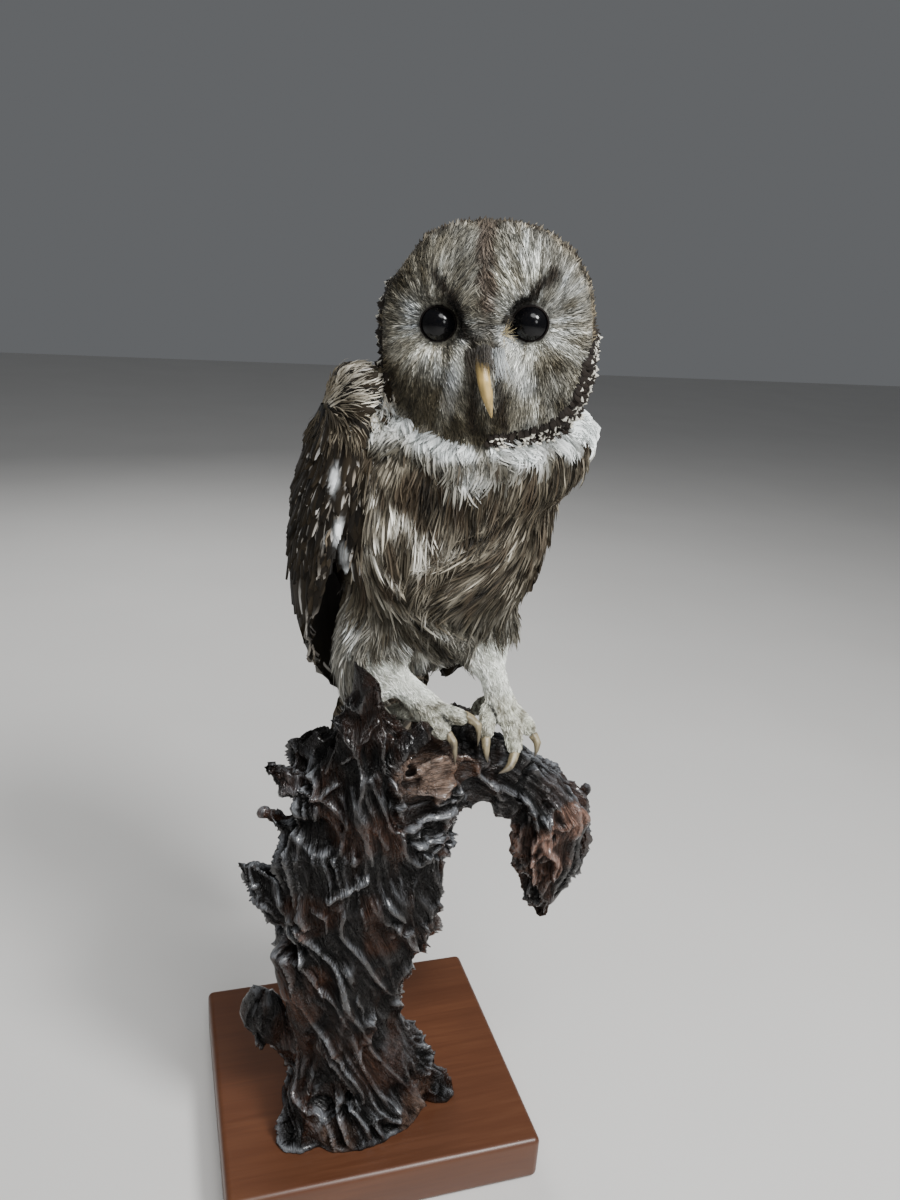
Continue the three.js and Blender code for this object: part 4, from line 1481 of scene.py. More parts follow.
@dataclass
class Owl:
    """The bird: its skin and its coat of feathers."""

    skin: Skin = field(default_factory=Skin)
    markings: Markings = field(default_factory=Markings)
    lid_hole: float = 10.7

    def build(self) -> None:
        """Makes the skin and every coat piece."""
        self.skin.build()
        LOG.info("skin has %d faces", len(self.skin.surface.faces))
        self.dress_skin()
        front = (self.face, self.crown, self.rim, self.collar, self.body, self.thighs, self.legs)
        for stage in (*front, self.wings, self.shoulders, self.tail):
            stage()
        for tuft in BRISTLES:
            tuft.build(self.skin)

    def dress_skin(self) -> None:
        """Makes the skin's own mesh, in the coat's colours but darker."""
        skin, paints, surface = self.skin, self.markings, self.skin.surface
        count = len(surface.points)
        shells = (surface.points, surface.faces), skin.lid(-1, count), skin.lid(1, count + 512)
        made = mesh_object("skin", *(np.concatenate(parts) for parts in zip(*shells)))
        chance = np.random.default_rng(3).uniform(0, 1, count)
        ground = paints.body(surface.points, chance)[0]
        high = BIRD.local(surface.points)[:, 2] > 566
        for mine, painter in (
            (skin.mine(Part.HEAD), paints.head),
            (skin.mine(Part.NECK), paints.collar),
            (skin.mine(*THIGHS), paints.thigh),
            (skin.mine(*WINGS, Part.TAIL), paints.wing),
            (skin.mine(*WINGS) & high, paints.shoulder),
            (skin.mine(*LEGS), paints.leg),
        ):
            ground[mine] = painter(surface.points[mine], chance[mine])[0]
        ground = surface.spread(ground, 3)
        lids = smooth(11.6, 10.9, eye_gap(surface.points)) * (HEAD.local(surface.points)[:, 1] < -25)
        ground = blend(ground, tinted(count, (0.006, 0.005, 0.005)), lids)
        give(made, "ground", np.concatenate([ground, tinted(1024, (0.012, 0.009, 0.008))]))
        recipe = Recipe("skin_down", Roughness=0.9, Specular_IOR_Level=0.1)
        own = recipe.attribute("ground")["Color"]
        grain = recipe.noise(recipe.place(1.0, 1.0, 0.25), 900.0, 3.0)
        recipe.wear(Base_Color=recipe.shaded(own, grain * 0.6 + 0.35))
        recipe.bump(grain, 0.0006)
        finished(made, recipe.material, "body_feathers", *(part.value for part in Part))

    def coat(self, name: str, painter: Painter, seed: int, plumage: Plumage, slot: str, *beds: Bed) -> None:
        """Grows one piece of the coat.

        Args:
            name: the piece's name.
            painter: gives its feathers their colours.
            seed: starts its random draws.
            plumage: its finish.
            slot: which finish of the object that is.
            beds: what grows on it, in order.
        """
        coat = Coat(name, self.skin, painter, seed)
        for bed in beds:
            coat.grow(bed)
        coat.finish(plumage, slot)

    def face(self) -> None:
        """Grows the facial disc's fine feathers, above and below the eyes."""
        lock = Lock(strips=3, joints=3, root=0.3, strip=0.46, ragged=0.35, fluff=0.45)
        plumage = Plumage("face_feathers", barbs=0.1, vary=0.6, root=0.4)

        def size(places: Contact) -> Array:
            """Shortens the feathers beside the eyes."""
            return 0.42 + 0.58 * smooth(10, 24, eye_gap(places.points))

        for name, seed, above in (("coat_brow", 11, True), ("coat_cheeks", 21, False)):

            def disc(places: Contact, above: bool = above) -> Array:
                """Keeps the disc's upper or lower part and clears the eyes."""
                high = places.head[:, 2] > EYE_PLACE[2] - 2
                inside = on(Part.HEAD)(places) & (disc_edge(places.points) < self.rim_edges(places.points)[0])
                return inside & (high == above) & (eye_gap(places.points) > self.lid_hole)

            bed = Bed(disc, 1.02, 13.0, 2.9, lock, rise=1.5, joints=4, wander=0.15, bend=0.06, size=size)
            self.coat(name, self.markings.head, seed, plumage, "face_feathers", bed)

    @staticmethod
    def rim_edges(points: Array) -> tuple[Array, Array]:
        """Returns where the rim starts and ends, as parts of the way from the disc's middle to its edge."""
        x, _, z = HEAD.local(points).T
        low = smooth(1, 6, x) * smooth(0, -14, z)
        return 1.02 - 0.3 * low, np.interp(x, (3, 25, 45), (0.99, 1.04, 1.2))

    def crown(self) -> None:
        """Grows the crown and the nape."""
        lock = Lock(strips=6, joints=4, ragged=0.3, strip=0.3, fluff=0.3)

        def back(places: Contact) -> Array:
            """Keeps the head behind the disc."""
            return on(Part.HEAD)(places) & (disc_edge(places.points) > 0.98)

        bed = Bed(back, 3.0, 13.0, 6.5, lock, rise=2.4, joints=4)
        plumage = Plumage("crown_feathers", Marking.STREAK, width=0.4)
        self.coat("coat_crown", self.markings.head, 12, plumage, "face_feathers", bed)

    def rim(self) -> None:
        """Grows the rim round the face."""
        blade = Vane(rows=4, cells=2, tip=0.45, camber=0.35, ragged=0.1)

        def ring(places: Contact) -> Array:
            """Keeps the band round the disc, without the brow."""
            edge = disc_edge(places.points)
            x, _, z = places.head.T
            inner, outer = self.rim_edges(places.points)
            left = (z < 2) & (edge > inner + 0.02) & (edge < outer)
            right = (np.abs(z - 12) < 36) & (edge > 1.02) & (edge < 1.3) & (x < -30)
            return on(Part.HEAD, Part.NECK)(places) & np.where(x > 3, left, right)

        bed = Bed(ring, 2.1, 6.2, 3.3, blade, rise=4.2, off=1.2, curl=1.0, joints=4, wander=0.3)
        plumage = Plumage("rim_feathers", Marking.TIP, width=0.34)
        self.coat("coat_rim", self.markings.rim, 13, plumage, "face_feathers", bed)

    def collar(self) -> None:
        """Grows the white ruffle: down, and the curled feathers over it."""

        def below(places: Contact) -> Array:
            """Keeps the neck and, beside the chin, the strip of the head below the rim."""
            x, _, z = places.head.T
            edge, outer = disc_edge(places.points), self.rim_edges(places.points)[1]
            strip = on(Part.HEAD)(places) & (z < -24) & (x > 3) & (edge > outer)
            return on(Part.NECK)(places) & (edge > np.where(x > 3, outer, 1.0)) | strip

        down = Lock(strips=8, joints=4, root=0.75, ragged=0.25, strip=0.3, fluff=0.12)
        lock = Lock(strips=9, joints=5, root=0.6, ragged=0.3, strip=0.26, fluff=0.16)
        lower = {"rise": 4.0, "curl": 2.0, "wander": 0.25, "cling": 0.8, "joints": 4}
        upper = {"rise": 7.0, "off": 1.0, "curl": 6.0, "wander": 0.26, "bend": 0.22, "cling": 0.76}
        beds = (
            Bed(below, 4.2, 15.0, 14.0, down, fine=True, **lower),
            Bed(below, 5.0, 23.0, 13.0, lock, fine=True, **upper),
        )
        plumage = Plumage("collar_feathers", Marking.STREAK, barbs=0.35, width=0.18, root=0.55, vary=0.2)
        self.coat("coat_collar", self.markings.collar, 14, plumage, "white_down", *beds)

    def body(self) -> None:
        """Grows the breast, belly and back, long strands in front and the tuft between the legs."""

        def hang(places: Contact) -> Array:
            """Shortens the feathers above the legs."""
            x, _, z = places.bird.T
            return np.where(np.abs(x + 8) < 20, 1.0, 0.35 + 0.65 * smooth(424, 470, z))

        lock = Lock(strips=13, joints=5, ragged=0.4, strip=0.15, fluff=0.22)
        strand = Lock(strips=4, joints=5, root=0.3, strip=0.28, ragged=0.4, fluff=0.5)
        front = on(Part.TRUNK, y=(-math.inf, 20))
        tuft = on(Part.TRUNK, x=(-30, 10), y=(-math.inf, 20), z=(-math.inf, 440))
        long = {"rise": 4.5, "off": 1.0, "wander": 0.12, "bend": 0.06, "cling": 0.9, "joints": 6}
        beds = (
            Bed(on(Part.TRUNK), 7.2, 36.0, 15.0, lock, 3.6, wander=0.12, bend=0.06, cling=0.87, fine=True, size=hang),
            Bed(front, 6.2, 44.0, 7.5, strand, fine=True, size=hang, **long),
            Bed(tuft, 4.2, 52.0, 9.0, lock, rise=2.0, wander=0.14, bend=0.05, cling=0.25, fine=True),
        )
        plumage = Plumage("body_feathers", Marking.STREAK, width=0.26, vary=0.45)
        self.coat("coat_body", self.markings.body, 15, plumage, "body_feathers", *beds)

    def thighs(self) -> None:
        """Grows the long soft feathers of the thighs, and the fan beside the right one."""

        def size(places: Contact) -> Array:
            """Shortens the feathers towards the knee."""
            return 0.3 + 0.7 * smooth(414, 456, places.bird[:, 2])

        lock = Lock(strips=11, joints=5, ragged=0.45, strip=0.13, fluff=0.35)
        outer = on(Part.THIGH_RIGHT, x=(-math.inf, -61))
        beds = (
            Bed(on(*THIGHS), 4.0, 38.0, 10.0, lock, rise=5.5, wander=0.2, bend=0.07, cling=0.85, size=size),
            Bed(outer, 4.6, 50.0, 11.0, lock, rise=8.0, wander=0.16, bend=0.05, cling=0.12),
        )
        plumage = Plumage("thigh_feathers", Marking.STREAK, width=0.2, root=0.4, vary=0.45)
        self.coat("coat_thighs", self.markings.thigh, 16, plumage, "body_feathers", *beds)

    def legs(self) -> None:
        """Grows the felt of the legs and toes."""

        def size(places: Contact) -> Array:
            """Shortens the felt on the toes."""
            return np.where(on(*FEET)(places), 0.6, 1.0)

        lock = Lock(strips=3, joints=2, root=0.4, strip=0.5, ragged=0.35, fluff=0.6)
        bed = Bed(on(*LEGS), 1.25, 7.0, 2.2, lock, rise=1.1, joints=3, wander=0.35, size=size)
        plumage = Plumage("leg_felt", barbs=0.1, root=0.88, vary=0.12)
        self.coat("coat_legs", self.markings.leg, 17, plumage, "leg_down", bed)

    def wings(self) -> None:
        """Grows the wings' rows of feathers and the small ones above them."""
        coat = Coat("coat_wings", self.skin, self.markings.wing, 18)
        Wing(-1, 98.0, ((60, 72, 86, 112, 137, 165), (492, 448, 404, 380, 352, 350))).plant(coat)
        Wing(1, 86.0, ((60, 72, 92, 114, 138, 165), (520, 470, 425, 388, 350, 350))).plant(coat)
        small = Vane(rows=7, cells=4, tip=0.45, ragged=0.14)
        lesser = on(*WINGS, z=(492, 590))
        coat.grow(Bed(lesser, 5.2, 24.0, 8.5, small, rise=2.6, off=1.8, wander=0.16, cling=0.93, fine=True))
        plumage = Plumage("wing_feathers", Marking.SPOTS, width=0.3, count=1.2, vary=0.5, root=0.15)
        coat.finish(plumage, "flight_feathers")

    def shoulders(self) -> None:
        """Grows the pale ruffle on the shoulders."""
        lock = Lock(strips=13, joints=5, root=0.6, ragged=0.35, strip=0.13, fluff=0.22)
        carried = {"rise": 3.2, "off": 1.0, "curl": 1.2, "wander": 0.1, "bend": 0.1, "cling": 0.86}
        bed = Bed(on(*WINGS, z=(568, math.inf)), 3.4, 26.0, 13.0, lock, **carried)
        plumage = Plumage("shoulder_feathers", Marking.STREAK, width=0.2, root=0.78, vary=0.25)
        self.coat("coat_shoulders", self.markings.shoulder, 20, plumage, "body_feathers", bed)

    def tail(self) -> None:
        """Grows the tail: a sheet of long feathers above, one below, and their coverts."""
        coat = Coat("coat_tail", self.skin, self.markings.tail, 19)
        vane, covert = Vane(rows=16, cells=6, tip=0.1), Vane(rows=8, cells=4, tip=0.4)
        flat = {"rise": 1.2, "off": 0.5, "cling": 0.93, "wander": 0.02, "vary": 0.02, "joints": 9}
        for sheet, count in ((-1, 6), (1, 7)):
            across = np.linspace(-1, 1, count)
            root = rows(-4 + 30 * across, 74 + 14 * sheet - 2 * across**2, 352 - 6 * np.abs(across))
            coat.plant(Bed(on(), 1.0, 131.0, 24.0, vane, **flat), self.skin.touch(BIRD.world(root)))
        upper = on(Part.TAIL, z=(335, math.inf))
        coat.grow(Bed(upper, 9.0, 34.0, 15.0, covert, rise=2.0, off=1.4, wander=0.1, cling=0.9))
        coat.finish(Plumage("tail_feathers", Marking.BARS, width=0.2, count=5.0), "flight_feathers")


@dataclass(frozen=True)
class Bristles:
    """Stiff hairs that spring from a small disc, made with Geometry Nodes.

    place and toward are in the head's frame; reach is the disc's radius, length and thickness are millimetres.
    """

    name: str
    place: tuple[float, float, float]
    toward: tuple[float, float, float]
    reach: float
    count: int
    length: float
    spread: float
    colour: Colour
    thickness: float = 0.16
    seed: int = 1
    out: float = 0.0

    def disc(self, skin: Skin) -> bpy.types.Object:
        """Makes the disc that they spring from, facing the way they point.

        Args:
            skin: what they stand on.

        Returns:
            The disc.
        """
        around = np.linspace(0, 2 * np.pi, 13)[:-1]
        middle = HEAD.local(skin.touch(HEAD.world(np.array([self.place]))).points)[0] + (0, -self.out, 0)
        axis = unit(np.array(self.toward, float))
        first = unit(np.cross(axis, (0.3, 1.0, 0.2)))
        ring = middle + self.reach * (np.outer(np.cos(around), first) + np.outer(np.sin(around), np.cross(axis, first)))
        points = np.concatenate([[middle], ring])
        faces = np.array([(0, 1 + k, 1 + (k + 1) % 12) for k in range(12)])
        return mesh_object(self.name, HEAD.world(points), NO_QUADS, faces)

    def network(self, material: bpy.types.Material) -> bpy.types.NodeTree:
        """Writes the node group that turns a disc into bristles.

        Args:
            material: the bristles' finish.

        Returns:
            The node group, with its sizes as inputs.
        """
        tree = bpy.data.node_groups.new(self.name + "_nodes", "GeometryNodeTree")
        sockets = [("Geometry", "INPUT", "Geometry"), ("Geometry", "OUTPUT", "Geometry"), ("Seed", "INPUT", "Int")]
        sockets += [(label, "INPUT", "Float") for label in ("Density", "Length", "Thickness", "Spread")]
        for label, way, kind in sockets:
            tree.interface.new_socket(label, in_out=way, socket_type="NodeSocket" + kind)
        add = Nodes(tree).node
        given = add("NodeGroupInput")
        seed = given["Seed"]

        def scaled(vector: tuple[float, float, float], size: str) -> Value:
            """Returns a vector times one of the sizes."""
            inputs = {0: vector, "Scale": given[size]}
            return add("ShaderNodeVectorMath", {"operation": "SCALE"}, inputs)["Vector"]

        where = {"Mesh": given["Geometry"], "Density": given["Density"], "Seed": seed}
        roots = add("GeometryNodeDistributePointsOnFaces", inputs=where)
        bow = {"Resolution": 6, "Start": (0.0, 0.0, 0.0)}
        bow |= {"Middle": scaled((0.02, 0.0, 0.5), "Length"), "End": scaled((0.18, 0.0, 1.0), "Length")}
        curve = add("GeometryNodeCurveQuadraticBezier", inputs=bow)["Curve"]
        along = add("GeometryNodeSplineParameter")["Factor"]
        kept = {"Geometry": curve, "Name": "along", "Value": along}
        stored = add("GeometryNodeStoreNamedAttribute", {"data_type": "FLOAT", "domain": "POINT"}, kept)["Geometry"]
        taper = add("ShaderNodeMapRange", inputs={"Value": along, "To Min": 1.0, "To Max": 0.15})["Result"]
        thin = add("GeometryNodeSetCurveRadius", inputs={"Curve": stored, "Radius": taper})["Curve"]
        ring = add("GeometryNodeCurvePrimitiveCircle", inputs={"Resolution": 5, "Radius": given["Thickness"]})["Curve"]
        tube = {"Curve": thin, "Profile Curve": ring, "Scale": taper, "Fill Caps": True}
        hair = add("GeometryNodeCurveToMesh", inputs=tube)["Mesh"]
        lean = {"Min": scaled((-1.0, -1.0, -6.0), "Spread"), "Max": scaled((1.0, 1.0, 6.0), "Spread"), "Seed": seed}
        leaning = add("FunctionNodeRandomValue", {"data_type": "FLOAT_VECTOR"}, lean)["Value"]
        aim = {"Rotation": roots["Rotation"], "Rotate By": leaning}
        aimed = add("FunctionNodeRotateRotation", {"rotation_space": "LOCAL"}, aim)["Rotation"]
        grown = add("FunctionNodeRandomValue", {"data_type": "FLOAT"}, {2: 0.6, 3: 1.15, "Seed": seed})["Value"]
        planting = {"Points": roots["Points"], "Instance": hair, "Rotation": aimed, "Scale": grown}
        planted = add("GeometryNodeInstanceOnPoints", inputs=planting)["Instances"]
        solid = add("GeometryNodeRealizeInstances", inputs=[planted])["Geometry"]
        painted = add("GeometryNodeSetMaterial", inputs={"Geometry": solid, "Material": material})["Geometry"]
        add("NodeGroupOutput", inputs=[painted])
        return tree

    def build(self, skin: Skin) -> None:
        """Grows them and bakes them into a plain mesh.

        Args:
            skin: what they stand on.
        """
        recipe = Recipe(self.name, Roughness=0.5, Specular_IOR_Level=0.4)
        along = recipe.attribute("along")["Fac"]
        dark = tuple(0.45 * part for part in self.colour)
        recipe.wear(Base_Color=recipe.mix(along.ramp(0.0, 0.6), dark, self.colour))
        made = self.disc(skin)
        grower = made.modifiers.new("grow", "NODES")
        grower.node_group = tree = self.network(recipe.material)
        values = {
            "Density": self.count / (math.pi * (self.reach * MM) ** 2),
            "Length": self.length * MM,
            "Thickness": self.thickness * MM,
            "Spread": self.spread,
            "Seed": self.seed,
        }
        for item in tree.interface.items_tree:
            if item.name in values:
                grower[item.identifier] = values[item.name]
        baked(made)
        share = np.zeros(len(made.data.vertices))
        made.data.attributes["along"].data.foreach_get("value", share)
        chart = skin.touch(points_of(made.data)).chart
        chart[:, 1] += (share - 0.5) * PATCH
        mapped(made, chart)
        finished(made, recipe.material, "face_feathers")


IVORY: Colour = (0.75, 0.63, 0.38)
DUSK: Colour = (0.05, 0.044, 0.036)
ASH: Colour = (0.62, 0.65, 0.65)
UMBER: Colour = (0.085, 0.072, 0.056)
SOOT: Colour = (0.07, 0.062, 0.052)
BRISTLES: tuple[Bristles, ...] = (
    Bristles("bristles_eye", (17.5, -50, 6.5), (0.8, -0.68, -0.05), 2.0, 40, 9.0, 1.1, IVORY, 0.14, 3),
    Bristles("bristles_lash", (16.5, -50, 13.0), (0.9, -0.45, 0.0), 2.4, 44, 6.5, 0.4, DUSK, 0.2, 9),
    Bristles("bristles_bill_left", (10.5, -54, -2.0), (0.06, -0.35, -0.95), 5.0, 90, 18.0, 0.24, ASH, 0.2, 5, 2.5),
    Bristles("bristles_bill_right", (-8.5, -54, -3.0), (0.12, -0.35, -0.95), 4.5, 90, 18.0, 0.24, UMBER, 0.2, 6, 2.5),
    Bristles("bristles_bill_top", (1.5, -54, -1.0), (0.05, -0.5, -0.85), 4.5, 130, 15.0, 0.2, SOOT, 0.2, 7, 6.5),
)


# ---- eyes, bill and claws
@dataclass
class Features:
    """The hard parts of the bird: glass eyes, the bill and the claws."""

    inset: float = 0.15
    cornea: float = 0.9
    bill_slim: float = 0.95
    voxel: float = 0.7

    def build(self) -> None:
        """Makes them all."""
        for side, node in ((-1, "eye_right"), (1, "eye_left")):
            self.eye(side, node)
        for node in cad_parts:
            if node.startswith(("claw", "bill")):
                self.horn(node)

    def eye(self, side: int, node: str) -> None:
        """Makes one glass eye with a bulging cornea.

        Args:
            side: -1 for the bird's right eye and 1 for its left.
            node: the CAD node that it stands for.
        """
        form = bmesh.new()
        bmesh.ops.create_uvsphere(form, u_segments=48, v_segments=32, radius=1.0)
        points = np.array([vert.co for vert in form.verts])
        cap = smooth(0.75, 1.0, points[:, 2])
        radius = EYE_RADIUS - self.inset + self.cornea * cap
        points = points * radius[:, None] @ turn("X", 90).T + EYE_PLACE * (side, 1, 1)
        faces = [[vert.index for vert in face.verts] for face in form.faces]
        form.free()
        mesh = bpy.data.meshes.new(node + "_glass")
        mesh.from_pydata(HEAD.world(points).tolist(), [], faces)
        made = placed(mesh.name, mesh)
        recipe = Recipe("eye_glass", Roughness=0.15, Specular_IOR_Level=0.28)
        iris = recipe.noise(recipe.place(), 900.0, 3.0).ramp(0.3, 0.7)
        recipe.wear(Base_Color=recipe.mix(iris, (0.0012, 0.0014, 0.0022), (0.0035, 0.003, 0.0032)))
        finished(made, recipe.material, "eye_glass", node)

    def horn(self, node: str) -> None:
        """Smooths one claw or half of the bill.

        Args:
            node: the CAD node that it stands for.
        """
        points, faces = welded(node)
        if node.startswith("bill"):
            at = HEAD.local(points)
            high = smooth(-42, 0, at[:, 2])
            at[:, 0] = 4.5 + (at[:, 0] - 4.5) * self.bill_slim - 3.4 * high
            at[:, 1] -= 2.2
            at[:, 2] -= 3.0 * (1 - high)
            points = HEAD.world(at)
        made = mesh_object(node + "_horn", points, NO_QUADS, faces)
        fuse = made.modifiers.new("fuse", "REMESH")
        fuse.mode, fuse.voxel_size = "VOXEL", self.voxel * MM
        fuse.use_smooth_shade = True
        ease = made.modifiers.new("ease", "SMOOTH")
        ease.factor, ease.iterations = 0.5, 6
        baked(made)
        height = points_of(made.data)[:, 2]
        give(made, "down", (height.max() - height) / np.ptp(height))
        kind = node.split("_")[0]
        finished(made, HORNS[kind].material(), kind + "_horn", node)


@dataclass(frozen=True)
class Horn:
    """Polished horn: a body colour that darkens to the tip."""

    name: str
    body: Colour
    dark: Colour
    tip: float = 0.0

    def material(self) -> bpy.types.Material:
        """Writes the material."""
        recipe = Recipe(self.name, Roughness=0.45, Coat_Weight=0.1, Coat_Roughness=0.3)
        grain = recipe.noise(recipe.place(1.0, 1.0, 0.2), 700.0, 4.0)
        cloud = recipe.noise(recipe.place(), 160.0, 3.0)
        tip = recipe.attribute("down")["Fac"].ramp(0.35, 1.0) * self.tip
        base = recipe.mix((grain * 0.5 + cloud * 0.6).ramp(0.35, 0.85), self.body, self.dark)
        recipe.wear(Base_Color=recipe.mix(tip, base, self.dark))
        recipe.bump(grain, 0.0002, 0.4)
        return recipe.material


HORNS = {
    "bill": Horn("bill_horn", (0.52, 0.36, 0.13), (0.26, 0.19, 0.075)),
    "claw": Horn("claw_horn", (0.30, 0.25, 0.15), (0.028, 0.022, 0.017), 0.85),
}


# ---- the stand
@dataclass(frozen=True)
class Limb:
    """A tapering, rounded piece of wood: (x, y, z, half width, half depth) stations of its foot and of its end."""

    foot: tuple[tuple[float, ...], ...]
    end: tuple[tuple[float, ...], ...]

    def shell(self) -> Shell:
        """Returns its points, in metres, and its triangles."""
        around = np.linspace(0, 2 * np.pi, 17)[:-1]
        places = np.array(self.foot + self.end)
        axis = unit(np.gradient(places[:, :3], axis=0))
        across = unit(np.cross(axis, (0.0, 1.0, 0.0)))
        deep = np.cross(axis, across)
        wide, thick = np.cos(around) * places[:, 3:4], np.sin(around) * places[:, 4:5]
        ring = across[:, None] * wide[..., None] + deep[:, None] * thick[..., None]
        points = np.concatenate([(places[:, None, :3] + ring).reshape(-1, 3), places[[0, -1], :3]])
        faces = []
        for row, k in itertools.product(range(len(places) - 1), range(16)):
            a, b, c, d = (16 * (row + i) + (k + j) % 16 for i, j in ((0, 0), (0, 1), (1, 1), (1, 0)))
            faces += [(a, b, c), (a, c, d)]
        low, last = 16 * len(places), 16 * (len(places) - 1)
        faces += [(low, (k + 1) % 16, k) for k in range(16)]
        faces += [(low + 1, last + k, last + (k + 1) % 16) for k in range(16)]
        return points * MM, np.array(faces)


@dataclass(frozen=True)
class Stroke:
    """A ridge or groove along the wood's front: (x, z) places, how far it stands out and half its width."""

    path: tuple[tuple[float, float], ...]
    height: float
    width: float = 2.6

    def relief(self, flat: Array) -> Array:
        """Returns its height at (x, z) places."""
        return self.height * np.exp(-((away(self.path, flat) / self.width) ** 2))


@dataclass(frozen=True)
class Hollow:
    """A pit, or a swelling where deep is negative, in the wood's front."""

    x: float
    z: float
    reach: float
    deep: float
    lip: float = 0.0

    def relief(self, flat: Array) -> Array:
        """Returns its height at (x, z) places."""
        far = np.hypot(flat[:, 0] - self.x, flat[:, 1] - self.z) / self.reach
        return -self.deep * np.exp(-(far**4)) + self.lip * np.exp(-(((far - 1.15) / 0.3) ** 2))


ORANGE: Colour = (0.15, 0.062, 0.024)
TAN: Colour = (0.24, 0.165, 0.125)
ROSE: Colour = (0.30, 0.17, 0.125)
RUSSET: Colour = (0.060, 0.024, 0.012)
SLATE: Colour = (0.085, 0.085, 0.090)


